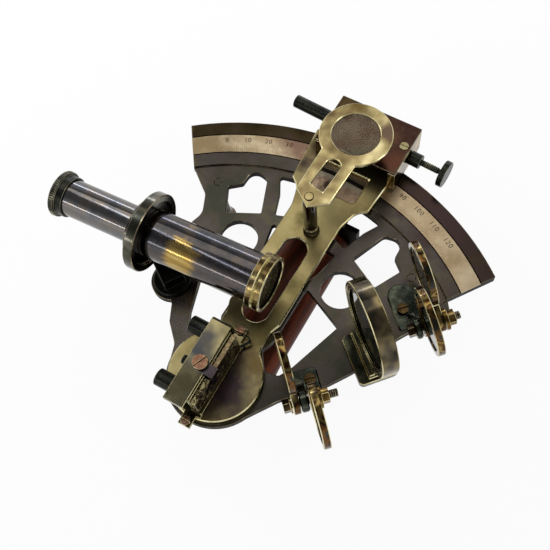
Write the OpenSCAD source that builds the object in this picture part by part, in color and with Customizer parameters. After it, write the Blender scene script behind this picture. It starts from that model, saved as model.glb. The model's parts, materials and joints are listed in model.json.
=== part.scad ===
// A small brass sextant on three feet, with its face up.
// The index arm's pivot is the Z axis and +Y is the middle of the arc.

/* [Arc] */
// Outer radius of the arc
limb_r = 120; // [112:1:130]
// Inner radius of the raised rim of the arc
limb_inner_r = 97.7; // [96:0.5:100]
// Half of the angle that the arc spans, in degrees
limb_half = 38.5; // [37:0.5:42]
// Thickness of the arc at its rim
limb_t = 4.2; // [3.8:0.1:6]
// Outer radius of the inlaid scale
scale_r_out = 113.1; // [111:0.1:114]
// Inner radius of the inlaid scale
scale_r_in = 104.3; // [103:0.1:106]
// Thickness of the inlaid scale
scale_t = 0.6; // [0.4:0.1:1.2]
// Gap that leaves a dark line beside the scale
scale_gap = 0.35; // [0.1:0.05:0.4]

/* [Frame] */
// Step from the face of the arc down to the open frame
web_drop = 1; // [0.6:0.1:1.5]
// Radius of the frame's boss around the pivot
boss_r = 20.5; // [20:0.1:22]
// Radius of the two round windows
round_window_r = 8.2; // [6:0.1:9]
// Height of the face of the arc above the ground
face_z = 33; // [33:0.5:40]

/* [Feet] */
// Radius of a rear foot at the frame
foot_r = 3.4; // [3:0.1:4]
// Radius of a rear foot at the ground
foot_pad_r = 4.6; // [4:0.1:5]
// Distance of the two rear feet from the middle line
foot_x = 47.5; // [46:0.5:48.5]
// Distance of the two rear feet from the pivot, along the middle line
foot_y = 75.6; // [74:0.5:77]
// Radius of the hollow foot under the pivot
pivot_foot_r = 7; // [6.6:0.1:7.5]

/* [Handle] */
// Half of the thickness of the wooden grip
grip_r = 10; // [8:0.5:10]
// Width of the flat strip along the middle of the grip
grip_flat = 8.8; // [4:0.2:9]
// Length of the wooden grip
grip_len = 71; // [60:1:71]
// Distance of the grip's axis from the middle line
grip_x = 1; // [-1:0.5:2]
// Depth of the grip's axis below the face of the arc
grip_drop = 20.6; // [20:0.1:21.5]

/* [Index arm] */
// Angle of the arm at rest, from the middle line, in degrees
arm_rest = 0.3; // [-2:0.1:2]
// Thickness of the arm
arm_t = 1.95; // [1.6:0.05:2.4]
// Running gap between the arm and the arc
arm_gap = 0.25; // [0.2:0.05:0.3]
// Radius of the arm's round end
arm_end_r = 19.2; // [18:0.1:20]
// Half of the arm's width along its straight part
arm_half_w = 11.9; // [10.5:0.1:12.5]
// Half of the width of the arm's long slot
arm_slot_half = 5.6; // [4:0.1:6]
// Radius of the pivot journal
journal_r = 4; // [3.5:0.1:4.5]
// Running clearance around the journal
journal_clear = 0.05; // [0.03:0.01:0.09]

/* [Tangent screw box] */
// Left side of the box, from the arm's middle line
box_left = -15.1; // [-17:0.1:-15]
// Right side of the box, from the arm's middle line
box_right = 22.9; // [22:0.1:24]
// How far the box's front lies inside the arc's outer edge
box_inside = 13; // [11:0.5:14]
// How far the box's back lies beyond the arc's outer edge
box_beyond = 12.3; // [11:0.1:14]
// Height of the cover's top above the face of the arc
cover_top = 14.6; // [13.5:0.1:18]
// Thickness of the cover
cover_t = 1.5; // [1:0.1:2]
// How far the tangent screw's axis lies beyond the arc's outer edge
screw_beyond = 3; // [2.8:0.1:3.6]
// Turn of the tangent screw from square to the arm, in degrees
screw_turn = -2.6; // [-3:0.1:0]
// Height of the tangent screw's axis above the face of the arc
screw_z = 7.2; // [6.8:0.1:7.6]
// Radius of the tangent screw
screw_r = 1.3; // [1.1:0.05:1.6]
// Pitch of the tangent screw
screw_pitch = 0.7; // [0.5:0.05:1]
// Radius of the tangent screw's disc knob
knob_r = 5.8; // [4.5:0.1:6.2]
// Thickness of the disc knob
knob_t = 2.6; // [2:0.1:4]
// Radius of the spring barrel
barrel_r = 2.9; // [2.7:0.1:3.4]
// Left end of the spring barrel
barrel_end = -34.9; // [-38:0.1:-34]

/* [Magnifier] */
// Distance of the magnifier's post from the pivot
post_y = 72.9; // [72:0.1:75]
// Distance of the post to the right of the arm's middle line
post_x = 2.1; // [0:0.1:3]
// Radius of the post
post_r = 2.8; // [2.4:0.1:3.2]
// Height of the underside of the magnifier's arm above the face
mag_z = 30; // [29:0.5:34]
// Distance from the post to the middle of the lens
mag_len = 34; // [33:0.5:36]
// Outer radius of the lens ring
mag_r = 15; // [14:0.1:15.5]
// Radius of the lens
mag_lens_r = 9.9; // [8:0.1:11.5]
// Thickness of the magnifier's arm
mag_t = 1.6; // [1.2:0.1:2]

/* [Index mirror] */
// Turn of the mirror from the arm's middle line, in degrees
mirror_turn = 1.2; // [0:0.1:2]
// Height of the top of the mirror's case above the face
case_top = 20; // [18:0.5:22]
// Length of the case's top plate
case_len = 36.5; // [36:0.1:37]
// Length of the index mirror
mirror_len = 30.5; // [28:0.5:31]
// Thickness of the index mirror
mirror_t = 2.2; // [1.5:0.1:2.4]
// Radius of the adjusters behind the mirror
adjuster_r = 3.5; // [3:0.1:3.8]

/* [Telescope] */
// Height of the line of sight above the face of the arc
sight_h = 24; // [23.5:0.1:25]
// Turn of the telescope from the X axis, in degrees
tele_turn = 4; // [3:0.1:4.5]
// X of the front face of the telescope's ring
tele_x = -46; // [-47:0.5:-45]
// Y of the front face of the telescope's ring
tele_y = 32.5; // [31.5:0.5:33]
// Outer radius of the telescope's ring
ring_r = 16.5; // [15:0.1:16.8]
// Length of the ring
ring_len = 4.2; // [3.6:0.1:6]
// Radius of the main tube
tube_r = 10; // [9.4:0.1:10.4]
// Distance from the ring's front face to the front of the objective
tube_len = 52.2; // [49:0.1:53]
// Radius of the draw tube
draw_r = 7.75; // [7:0.05:7.9]
// Running clearance of the draw tube
draw_clear = 0.06; // [0.03:0.01:0.09]
// Distance from the ring's front face to the eyepiece end
draw_out = 44.5; // [43:0.5:47]
// Radius of the knurled eyepiece cap
eye_r = 9.5; // [9.2:0.1:10]

/* [Horizon mirror] */
// X of the middle of the horizon mirror's front edge
hor_x = 45; // [44:0.5:46]
// Y of the middle of the horizon mirror's front edge
hor_y = 37.5; // [36.5:0.5:38]
// Direction that the horizon mirror's back faces, in degrees
hor_turn = 49.9; // [46:0.1:54]
// Outer radius of the horizon mirror's ring
hor_r = 18.8; // [17:0.1:19]
// Depth of the ring
hor_depth = 6.6; // [6:0.1:8]
// Wall of the ring
hor_wall = 1.5; // [1:0.1:2]

/* [Shades] */
// Outer radius of an index shade
index_shade_r = 12; // [11:0.1:12.5]
// Outer radius of a horizon shade
horizon_shade_r = 13.2; // [12:0.1:13.2]
// Thickness of a shade's ring
shade_t = 2.8; // [2.2:0.1:3]
// Distance from an index shade's pivot to the middle of its glass
index_reach = 17; // [17:0.1:18]
// Distance from a horizon shade's pivot to the middle of its glass
horizon_reach = 19.5; // [18.5:0.1:20]
// Height of the shade pivots above the face of the arc
shade_z = 8.5; // [8.5:0.1:9.5]
// Radius of the screws that the shades turn on
shade_screw_r = 1.5; // [1.2:0.05:1.6]
// Running clearance of a shade on its screw
shade_clear = 0.06; // [0.03:0.01:0.09]

/* [Hidden] */
$fn = 64;
// Gap that keeps a moving piece clear of a fixed one
air = 0.3;
// Fit between pieces that are fastened together
fit = 0.02;
dark = "#3b3835";
bronze = "#6b5f4a";
olive = "#9a8d58";
rosy = "#b39d80";
black = "#2a2c28";
gun = "#5a5862";
nut_brown = "#6a5228";
steel_blue = "#8fa3a8";

// Frame: the open plate below the arc
web_z = face_z - web_drop;
under_z = face_z - limb_t;
right_end = polar(limb_inner_r + 0.5, 90 - limb_half - 2.7);
left_end = polar(limb_inner_r + 0.3, 90 + limb_half);
right_end_dir = 55.5;
left_end_dir = 126.6;
lug_x = -38.7;
lug_y = 26.5;
lug_r = 9.3;
tenon_r = 1.75;
bush_r = 6.5;
bush_flange_t = 1;
foot_cup_r = pivot_foot_r - 1.3;

// Arm
arm_z = face_z + arm_gap;
arm_top = arm_z + arm_t;
neck_half = 10.4;
neck_fillet = 5;
head_window_left = -10.4;
head_window_right = 11.6;
head_window_y = limb_inner_r - 5.1;
box_front = limb_r - box_inside;
box_back = limb_r + box_beyond;
head_window_end = box_front - 0.5;
screw_y = limb_r + screw_beyond;
box_wall = 3.2;
cover_z = face_z + cover_top - cover_t;
tongue_half = 4;
tongue_in = limb_r + 1.3;
tongue_out = tongue_in + 6.5;
feed = 1.2;
opening_half = tongue_half + feed + 2.4;
lip_in = limb_r - 4;
contact_gap = 0.05;

// Sight line
sight_z = face_z + sight_h;
shade_axis_z = face_z + shade_z;
// Place of each shade axis, its direction and its upward tilt
index_axis = [32.3, 1.9, 45.7, 0];
horizon_axis = [59, 51.7, 47, 6];
eye_rad = 4.2;

function polar(r, a) = [r * cos(a), r * sin(a)];
function unit(v) = v / norm(v);
function flat(p) = [p[0], p[1]];
function flip(pts) = [for (i = [len(pts) - 1:-1:0]) [-pts[i][0], pts[i][1], pts[i][2]]];

// Arc of radius r that rounds the corner at q, between p and s
function corner(p, q, s, r, n) =
    let (u = unit(p - q), v = unit(s - q), half = acos(u * v) / 2)
    let (c = q + unit(u + v) * r / sin(half), a = q + u * r / tan(half), b = q + v * r / tan(half))
    let (a0 = atan2(a.y - c.y, a.x - c.x), a1 = atan2(b.y - c.y, b.x - c.x))
    let (sweep = (a1 - a0 + 540) % 360 - 180)
    r <= 0 ? [q] : [for (i = [0:n]) c + polar(r, a0 + sweep * i / n)];

// Outline through [x, y, radius] points with its corners rounded
function smooth(pts, n = 6) =
    let (m = len(pts))
    [for (i = [0:m - 1])
        each corner(flat(pts[(i + m - 1) % m]), flat(pts[i]), flat(pts[(i + 1) % m]), pts[i][2], n)];

module xcyl(r, x0, x1) {
    translate([x0, 0, 0])
        rotate([0, 90, 0])
            cylinder(r = r, h = x1 - x0);
}

module plate(z, t) {
    translate([0, 0, z])
        linear_extrude(height = t)
            children();
}

module box(x0, x1, y0, y1, z0, z1) {
    translate([x0, y0, z0])
        cube([x1 - x0, y1 - y0, z1 - z0]);
}

// Slotted cheese-head screw with its head's underside at z = 0 and its shank below
module slotted_screw(head_r, head_t, shank_r, len) {
    slot_w = head_r * 0.28;
    difference() {
        union() {
            cylinder(r = head_r, h = head_t);
            translate([0, 0, -len])
                cylinder(r = shank_r, h = len + head_t / 2);
        }
        translate([-head_r - 1, -slot_w / 2, head_t * 0.55])
            cube([2 * head_r + 2, slot_w, head_t]);
    }
}

module on_arm() {
    rotate([0, 0, arm_rest])
        children();
}

module on_mirror() {
    on_arm()
        rotate([0, 0, mirror_turn])
            children();
}

module on_screw_line() {
    on_arm()
        on_box_screw()
            children();
}

module on_box_screw() {
    translate([0, screw_y, face_z + screw_z])
        rotate([0, 0, screw_turn])
            children();
}

module on_telescope() {
    translate([tele_x, tele_y, sight_z])
        rotate([0, 0, tele_turn])
            children();
}

module on_horizon() {
    translate([hor_x, hor_y, sight_z])
        rotate([0, 0, hor_turn])
            children();
}

module on_axis(axis) {
    translate([axis[0], axis[1], shade_axis_z])
        rotate([0, -axis[3], axis[2]])
            children();
}

module at_each_foot() {
    for (side = [-1, 1])
        translate([side * foot_x, foot_y, 0])
            children();
}

// Everything between the two cut ends of the arc
module arc_span() {
    right = polar(1, right_end_dir);
    left = polar(1, left_end_dir);
    polygon([right_end - 20 * right, right_end + 70 * right, [0, 2 * limb_r],
        left_end + 70 * left, left_end - 20 * left]);
}

module band(r_in, r_out) {
    intersection() {
        difference() {
            circle(r = r_out);
            circle(r = r_in);
        }
        arc_span();
    }
}

// Outline of the open frame, from the boss up the right side and down the left
module web_outline() {
    right = [[16, -12.5, 0], [22.6, -2.4, 6], [26.6, 3.7, 5], [40, 18.5, 10], [46, 27.9, 8],
        [55, 49.5, 20], [67.3, 70.4, 1.2], [right_end.x, right_end.y, 0.3]];
    top = [for (a = [55:10:125]) [polar(limb_inner_r + 2, a).x, polar(limb_inner_r + 2, a).y, 0]];
    left = [[left_end.x, left_end.y, 0.4], [-49.4, 68, 7], [-45.2, 59, 7], [-49.8, 44, 10],
        [-48.3, 28.5, 3], [-38, 22, 0], [-33, 16.9, 1], [-29.6, 10.2, 5], [-22.3, 3.2, 6],
        [-19.5, -5, 0]];
    polygon(smooth(concat(right, top, left)));
    circle(r = boss_r);
    translate([lug_x, lug_y])
        circle(r = lug_r);
}

// Side window beside the arc
module side_window() {
    polygon(smooth([[22.6, 71.4, 0.8], [29, 87.3, 2.5], [37.2, 89, 4], [37.4, 80.2, 1.6],
        [42.4, 76, 0.6], [36.4, 64.4, 0.6]]));
}

// Long window in each leg
module leg_window() {
    polygon(smooth([[12.2, 50.4, 1], [31.8, 41.6, 0.8], [24.4, 18.4, 3], [21.4, 12.4, 1.8],
        [15.5, 11.5, 2], [10.3, 18.4, 1.2], [12.2, 23, 3]]));
}

module middle_window() {
    right = [[6.8, 24, 3], [7, 46, 8], [13.2, 58, 20], [15.4, 69.4, 1]];
    polygon(smooth(concat(right, flip(right))));
}

module top_window() {
    right = [[17, 73.6, 1.2], [20.6, 84, 8], [24.8, 91.3, 1.2]];
    top = [for (a = [79:4:101]) [polar(94.6, a).x, polar(94.6, a).y, 0]];
    polygon(smooth(concat([[0, 80, 10]], right, top, flip(right))));
}

module windows() {
    for (side = [0, 1])
        mirror([side, 0]) {
            side_window();
            leg_window();
            translate([24.7, 56.5])
                circle(r = round_window_r);
        }
    middle_window();
    top_window();
}

module frame() {
    color(dark)
        difference() {
            union() {
                plate(under_z, limb_t - web_drop)
                    difference() {
                        web_outline();
                        windows();
                    }
                difference() {
                    plate(under_z, limb_t)
                        band(limb_inner_r, limb_r);
                    plate(face_z - scale_t, scale_t + 1)
                        band(scale_r_in - scale_gap, scale_r_out + scale_gap);
                }
            }
            translate([0, 0, under_z - 1])
                cylinder(r = bush_r, h = limb_t + 2);
            at_each_foot()
                translate([0, 0, under_z - 1])
                    cylinder(r = tenon_r, h = limb_t + 2);
            grip_screw_places()
                translate([0, 0, under_z - 0.01])
                    cylinder(r = grip_screw_r, h = grip_screw_grip);
            bracket_screw_places()
                translate([0, 0, under_z - 1])
                    cylinder(r = fix_r, h = limb_t + 2);
        }
}

module scale() {
    color(rosy)
        plate(face_z - scale_t, scale_t)
            band(scale_r_in, scale_r_out);
}

module rear_feet() {
    color(bronze)
        at_each_foot()
            rotate_extrude()
                polygon([[0, 0], [foot_pad_r, 0], [foot_pad_r, 2], [foot_r * 0.8, 5],
                    [foot_r * 0.62, under_z / 2], [foot_r * 0.7, under_z - 5], [foot_r, under_z - 3],
                    [foot_r, under_z], [tenon_r, under_z], [tenon_r, web_z], [0, web_z]]);
}

// Hollow foot that hides the lower end of the pivot
module pivot_foot() {
    depth = 9;
    color(bronze)
        difference() {
            rotate_extrude()
                polygon([[0, 0], [pivot_foot_r - 0.6, 0], [pivot_foot_r - 0.6, 2],
                    [pivot_foot_r - 2.2, 5], [pivot_foot_r - 2.2, under_z - depth - 6],
                    [pivot_foot_r, under_z - depth - 2], [pivot_foot_r, under_z], [0, under_z]]);
            translate([0, 0, under_z - depth])
                cylinder(r = foot_cup_r, h = depth + 1);
        }
}

module pivot_bush() {
    color(olive)
        difference() {
            union() {
                translate([0, 0, under_z])
                    cylinder(r = bush_r, h = limb_t - web_drop);
                translate([0, 0, under_z - bush_flange_t])
                    cylinder(r = foot_cup_r, h = bush_flange_t);
            }
            translate([0, 0, under_z - 5])
                cylinder(r = journal_r + journal_clear, h = 20);
        }
}

// Grip
grip_z = face_z - grip_drop;
lower_plate_t = 2.6;
lower_plate_y = 10.7;
grip_y = lower_plate_y + lower_plate_t;
upper_plate_y = grip_y + grip_len;
upper_plate_t = 2.6;
rod_r = 1.9;
strap_t = 2.6;
strap_end = 103;
grip_screw_r = 1.2;
grip_screw_grip = 2.4;
upper_screws = [[0, 99.5], [7, 99.5]];
lower_screws = [[2.2, 15.6], [7.8, 15.6]];

// The grip flares at its butt and narrows a little towards the arc
function grip_radius(t) = grip_r * (0.99 - 0.07 * t * t + 0.11 * pow(1 - t, 8));

module grip_screw_places() {
    for (p = concat(upper_screws, lower_screws))
        translate([p.x, p.y, 0])
            children();
}

module on_grip() {
    translate([grip_x, 0, grip_z])
        rotate([-90, 0, 0])
            children();
}

module grip() {
    chamfer = 1.4;
    steps = 16;
    start = [[0, grip_y], [grip_radius(0) - chamfer, grip_y], [grip_radius(0), grip_y + chamfer]];
    side = [for (i = [1:steps - 1]) [grip_radius(i / steps), grip_y + grip_len * i / steps]];
    finish = [[grip_radius(1), upper_plate_y - chamfer], [grip_radius(1) - chamfer, upper_plate_y],
        [0, upper_plate_y]];
    profile = concat(start, side, finish);
    color("#5a2412")
        on_grip()
            difference() {
                union() {
                    for (x = [-grip_flat / 2, grip_flat / 2])
                        translate([x, 0, 0])
                            rotate_extrude()
                                polygon(profile);
                    translate([-grip_flat / 2, 0, 0])
                        rotate([90, 0, 90])
                            linear_extrude(height = grip_flat)
                                for (side = [-1, 1])
                                    polygon([for (p = profile) [side * p[0], p[1]]]);
                }
                translate([0, 0, grip_y - 1])
                    cylinder(r = rod_r + fit, h = grip_len + 2);
            }
}

// Rod through the grip with a screwed head at each end
module grip_rod() {
    head_r = 3.4;
    head_t = 1.5;
    color(nut_brown)
        on_grip() {
            translate([0, 0, lower_plate_y - head_t])
                cylinder(r = head_r, h = head_t);
            translate([0, 0, lower_plate_y - head_t / 2])
                cylinder(r = rod_r, h = upper_plate_y + upper_plate_t - lower_plate_y + head_t);
            translate([0, 0, upper_plate_y + upper_plate_t])
                cylinder(r = head_r, h = head_t);
        }
}

module grip_plate(y, t, left, right, top) {
    low = grip_z - 9.2;
    translate([grip_x, y + t, 0])
        rotate([90, 0, 0])
            linear_extrude(height = t)
                difference() {
                    polygon(smooth([[left, low, 6], [right, low, 6], [right, top, 0], [left, top, 0]]));
                    translate([0, grip_z])
                        circle(r = rod_r + fit);
                }
}

module grip_upper_bracket() {
    color(black)
        difference() {
            union() {
                grip_plate(upper_plate_y, upper_plate_t, -10.5, 16.5, under_z - 1);
                box(-4, 11, upper_plate_y, strap_end, under_z - strap_t, under_z);
            }
            for (p = upper_screws)
                translate([p.x, p.y, under_z - 9])
                    cylinder(r = grip_screw_r, h = 12);
        }
}

module grip_lower_bracket() {
    color(black)
        difference() {
            union() {
                grip_plate(lower_plate_y, lower_plate_t, -9, 13.1, under_z - 1);
                box(-0.4, 10.4, lower_plate_y, grip_y + 4.4, under_z - strap_t, under_z);
            }
            for (p = lower_screws)
                translate([p.x, p.y, under_z - 9])
                    cylinder(r = grip_screw_r, h = 12);
        }
}

module grip_screws() {
    color(nut_brown)
        grip_screw_places()
            translate([0, 0, under_z - strap_t])
                mirror([0, 0, 1])
                    slotted_screw(2.1, 1.4, grip_screw_r, strap_t + grip_screw_grip - 0.2);
}

// Telescope
tube_bore = draw_r + draw_clear;
flange_len = 2.8;
flange_r = ring_r - 4.2;
rim_len = 2.7;
cell_len = 2 * rim_len + 0.6;
stop_x = 26;
cell_r = 11.4;
lens_t = 2.6;
bracket_w = 9;
saddle_top = -ring_r * 0.62;

module telescope_bracket() {
    base_t = 1.9;
    base_r = 8;
    to_ring = [tele_x - ring_len / 2 - lug_x, tele_y - lug_y];
    color(black)
        difference() {
            union() {
                translate([lug_x, lug_y, web_z])
                    cylinder(r = base_r, h = base_t);
                on_telescope()
                    box(-ring_len, 0, -bracket_w / 2, bracket_w / 2, web_z - sight_z + 6.5, saddle_top);
                translate([lug_x, lug_y, web_z])
                    rotate([0, 0, atan2(to_ring.y, to_ring.x)])
                        box(-4, norm(to_ring) + ring_len / 2, -bracket_w / 2, bracket_w / 2, 0.4, 8);
            }
            on_telescope()
                xcyl(ring_r, -30, 30);
            under_screw_places()
                translate([0, 0, under_z - 1])
                    cylinder(r = fix_r, h = web_z - under_z + 1 + tap_depth);
        }
}

module telescope_ring() {
    color(bronze)
        on_telescope()
            difference() {
                union() {
                    xcyl(ring_r, -ring_len, 0);
                    xcyl(flange_r, -ring_len - flange_len, -ring_len);
                }
                xcyl(tube_r, -30, 10);
                xcyl(ring_r - 3, -1.2, 1);
            }
}

module main_tube() {
    color(gun)
        on_telescope()
            difference() {
                xcyl(tube_r, -ring_len - flange_len, tube_len - cell_len);
                xcyl(tube_bore, -ring_len - flange_len - 1, stop_x);
                xcyl(tube_r - 1, stop_x + 3, tube_len);
                xcyl(tube_bore - 1.2, 0, stop_x + 4);
            }
}

module objective_cell() {
    lens_seat = 3.2;
    color(bronze)
        on_telescope()
            difference() {
                union() {
                    xcyl(cell_r, tube_len - cell_len, tube_len - cell_len + rim_len);
                    xcyl(cell_r - 0.7, tube_len - cell_len, tube_len);
                    xcyl(cell_r, tube_len - rim_len, tube_len);
                    xcyl(tube_r - 1, tube_len - cell_len - 3, tube_len - cell_len);
                }
                xcyl(cell_r - 1.6, tube_len - lens_seat, tube_len + 1);
                xcyl(tube_r - 2.2, 0, tube_len);
            }
}

module objective_lens() {
    color(steel_blue)
        on_telescope()
            xcyl(cell_r - 1.6, tube_len - 3.2, tube_len - 3.2 + lens_t - 0.8);
}

cap_len = 5.5;
cap_rim = 2.2;
cap_r = eye_r - 0.9;

module draw_tube() {
    color(gun)
        on_telescope()
            difference() {
                xcyl(draw_r, -draw_out + cap_len - 3, 6);
                xcyl(draw_r - 1, -draw_out, 7);
            }
}

module eyepiece_cap() {
    color(black)
        on_telescope()
            difference() {
                union() {
                    xcyl(eye_r, -draw_out, -draw_out + cap_rim);
                    xcyl(cap_r, -draw_out, -draw_out + cap_len);
                }
                xcyl(draw_r, -draw_out + cap_len - 3, -draw_out + cap_len + 1);
                xcyl(draw_r - 1.4, -draw_out - 1, 0);
                xcyl(eye_r - 1.6, -draw_out - 1, -draw_out + 1.2);
            }
}

module eyepiece_lens() {
    color(steel_blue)
        on_telescope()
            xcyl(draw_r - 1.4, -draw_out + 2, -draw_out + 4);
}

// Horizon mirror
base_t = 3.2;
glass_back = 3.4;
retainer_t = 0.9;
hor_bore = hor_r - hor_wall;
adjuster_y = -6;
adjuster_z = -16.5;

module horizon_frame() {
    foot_low = web_z - sight_z;
    color(bronze)
        on_horizon()
            difference() {
                union() {
                    xcyl(hor_r, 0, hor_depth);
                    translate([0, 0, foot_low])
                        linear_extrude(height = base_t)
                            polygon(smooth([[-6, -14, 2], [10.8, -14, 3], [10.8, 7.4, 2], [-6, 7.4, 2]]));
                    box(0.3, hor_depth - 0.3, -12.3, 7.2, foot_low, -hor_r * 0.8);
                    box(-1.7, 1, -12.3, 7.2, foot_low, foot_low + 6);
                }
                xcyl(hor_bore, -1, glass_back);
                xcyl(hor_bore - 3, -1, hor_depth - 1.6);
                translate([0, adjuster_y, adjuster_z])
                    xcyl(1.4, hor_depth - 3, hor_depth + 9);
                for (y = horizon_screw_y)
                    translate([horizon_screw_x, y, foot_low - 1])
                        cylinder(r = fix_r, h = 1 + tap_depth);
            }
}

module horizon_glass() {
    color(steel_blue)
        on_horizon()
            xcyl(hor_bore, retainer_t + 0.3, glass_back);
}

module horizon_retainer() {
    color(bronze)
        on_horizon()
            difference() {
                xcyl(hor_bore, 0.3, 0.3 + retainer_t);
                xcyl(hor_bore - 1.6, 0, 3);
            }
}

module horizon_adjuster() {
    color(olive)
        on_horizon()
            translate([0, adjuster_y, adjuster_z]) {
                xcyl(1.4, hor_depth - 3, hor_depth + 2);
                difference() {
                    xcyl(3, hor_depth, hor_depth + 4.6);
                    box(hor_depth + 3.4, hor_depth + 6, -0.45, 0.45, -4, 4);
                }
            }
}

// Shades. Each one turns about its screw, whose head is at x = 0
index_a = [1.9, 40];
index_b = [8.4, 127];
horizon_a = [9.8, 26.5];
horizon_b = [3.9, 104];
index_lug = [5, 8.1];
horizon_lug = [1.1, 3.5];
index_nut = 13.4;
horizon_nut = 14.4;
index_foot = [3, 15, 4.6, 14.6, 2];
horizon_foot = [-2.8, 8.2, 4, 23.3, 5];
index_foot_t = 2;
horizon_foot_t = web_drop;
fix_r = 1.2;
fix_head_r = 2.3;
fix_head_t = 1.4;
tap_depth = 1.3;
index_fix = [11.4, 9.6];
horizon_fix = [1.3, 12.2];
horizon_screw_x = 3.2;
horizon_screw_y = [-9.6, 4.2];
glass_wall = 2.1;

module shade(place, r, reach) {
    rotate([place[1], 0, 0])
        difference() {
            union() {
                translate([0, reach, 0])
                    xcyl(r, place[0], place[0] + shade_t);
                xcyl(eye_rad, place[0], place[0] + shade_t);
                box(place[0], place[0] + shade_t, 0, reach - r + 2.2, -eye_rad + 0.6, eye_rad - 0.6);
            }
            translate([0, reach, 0])
                xcyl(r - glass_wall, place[0] - 1, place[0] + shade_t + 1);
            xcyl(shade_screw_r + shade_clear, place[0] - 1, place[0] + shade_t + 1);
        }
}

module shade_glass(place, r, reach) {
    inset = 0.5;
    rotate([place[1], 0, 0])
        translate([0, reach, 0])
            xcyl(r - glass_wall, place[0] + inset, place[0] + shade_t - inset);
}

module index_shade_a() {
    color(bronze)
        on_axis(index_axis)
            shade(index_a, index_shade_r, index_reach);
}

module index_glass_a() {
    color("#3c4a3c")
        on_axis(index_axis)
            shade_glass(index_a, index_shade_r, index_reach);
}

module index_shade_b() {
    color(bronze)
        on_axis(index_axis)
            shade(index_b, index_shade_r, index_reach);
}

module index_glass_b() {
    color("#5a2a20")
        on_axis(index_axis)
            shade_glass(index_b, index_shade_r, index_reach);
}

module horizon_shade_a() {
    color(bronze)
        on_axis(horizon_axis)
            shade(horizon_a, horizon_shade_r, horizon_reach);
}

module horizon_glass_a() {
    color("#3c4a3c")
        on_axis(horizon_axis)
            shade_glass(horizon_a, horizon_shade_r, horizon_reach);
}

module horizon_shade_b() {
    color(bronze)
        on_axis(horizon_axis)
            shade(horizon_b, horizon_shade_r, horizon_reach);
}

module horizon_glass_b() {
    color("#2a2f2a")
        on_axis(horizon_axis)
            shade_glass(horizon_b, horizon_shade_r, horizon_reach);
}

// Foot of a shade bracket, flat on the frame
module bracket_foot(foot, t) {
    r = foot[4];
    translate([0, 0, web_z - shade_axis_z])
        linear_extrude(height = t)
            polygon(smooth([[foot[0], foot[2], 1], [foot[1], foot[2], 1], [foot[1], foot[3], r],
                [foot[0], foot[3], r]]));
}

// Upright lug around the shades' screw, joined to the foot below
module bracket_lug(lug, foot, t) {
    low = web_z - shade_axis_z;
    xcyl(eye_rad, lug[0], lug[1]);
    translate([lug[0], 0, 0])
        rotate([90, 0, 90])
            linear_extrude(height = lug[1] - lug[0])
                polygon([[-eye_rad, 0], [-eye_rad * 0.6, -eye_rad * 0.8], [2, low + t / 2],
                    [foot[2] + 5, low + t / 2], [foot[2] + 5, low + t], [eye_rad * 0.9, eye_rad * 0.4]]);
}

module shade_bracket(axis, lug, foot, t, fix) {
    difference() {
        union() {
            on_flat_axis(axis)
                translate([0, 0, shade_axis_z])
                    bracket_foot(foot, t);
            on_axis(axis)
                bracket_lug(lug, foot, t);
        }
        on_axis(axis)
            xcyl(shade_screw_r, -10, 40);
        on_flat_axis(axis)
            translate([fix[0], fix[1], web_z - 1])
                cylinder(r = fix_r, h = t + 2);
        on_flat_axis(axis)
            translate([fix[0], fix[1], web_z + t])
                cylinder(r = fix_head_r + air, h = 8);
    }
}

module shade_brackets() {
    color(black) {
        shade_bracket(index_axis, index_lug, index_foot, index_foot_t, index_fix);
        shade_bracket(horizon_axis, horizon_lug, horizon_foot, horizon_foot_t, horizon_fix);
    }
}

module on_flat_axis(axis) {
    translate([axis[0], axis[1], 0])
        rotate([0, 0, axis[2]])
            children();
}

module at_index_fix() {
    on_flat_axis(index_axis)
        translate([index_fix[0], index_fix[1], 0])
            children();
}

module at_horizon_fix() {
    on_flat_axis(horizon_axis)
        translate([horizon_fix[0], horizon_fix[1], 0])
            children();
}

// Screws that come up through the frame into the telescope bracket and the horizon mirror
module under_screw_places() {
    translate([lug_x - 1.5, lug_y - 2, 0])
        children();
    for (y = horizon_screw_y)
        translate([hor_x, hor_y, 0])
            rotate([0, 0, hor_turn])
                translate([horizon_screw_x, y, 0])
                    children();
}

module bracket_screw_places() {
    under_screw_places()
        children();
    at_index_fix()
        children();
    at_horizon_fix()
        children();
}

module bracket_screw(grip_t) {
    translate([0, 0, web_z + grip_t])
        slotted_screw(fix_head_r, fix_head_t, fix_r, grip_t + limb_t - web_drop);
}

module bracket_screws() {
    color(nut_brown) {
        at_index_fix()
            bracket_screw(index_foot_t);
        at_horizon_fix()
            bracket_screw(horizon_foot_t);
        under_screw_places()
            translate([0, 0, under_z])
                mirror([0, 0, 1])
                    slotted_screw(fix_head_r, fix_head_t, fix_r, web_z - under_z + tap_depth - 0.1);
    }
}

// Hexagon-headed screw that the shades turn on, with its head at x = 0
module shade_screw(len) {
    head_r = 2.8;
    translate([-1.6, 0, 0])
        rotate([0, 90, 0])
            cylinder(r = head_r, h = 2.6, $fn = 6);
    xcyl(shade_screw_r, 0, len);
}

module shade_screws() {
    color(nut_brown) {
        on_axis(index_axis)
            shade_screw(index_nut + 6.4);
        on_axis(horizon_axis)
            shade_screw(horizon_nut + 5);
    }
}

module washer(x0, x1, r = 3.4) {
    difference() {
        xcyl(r, x0, x1);
        xcyl(shade_screw_r, x0 - 1, x1 + 1);
    }
}

module hex_nut(x0) {
    nut_t = 2.9;
    difference() {
        translate([x0, 0, 0])
            rotate([0, 90, 0])
                cylinder(r = 3.2, h = nut_t, $fn = 6);
        xcyl(shade_screw_r, x0 - 1, x0 + nut_t + 1);
    }
}

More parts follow.
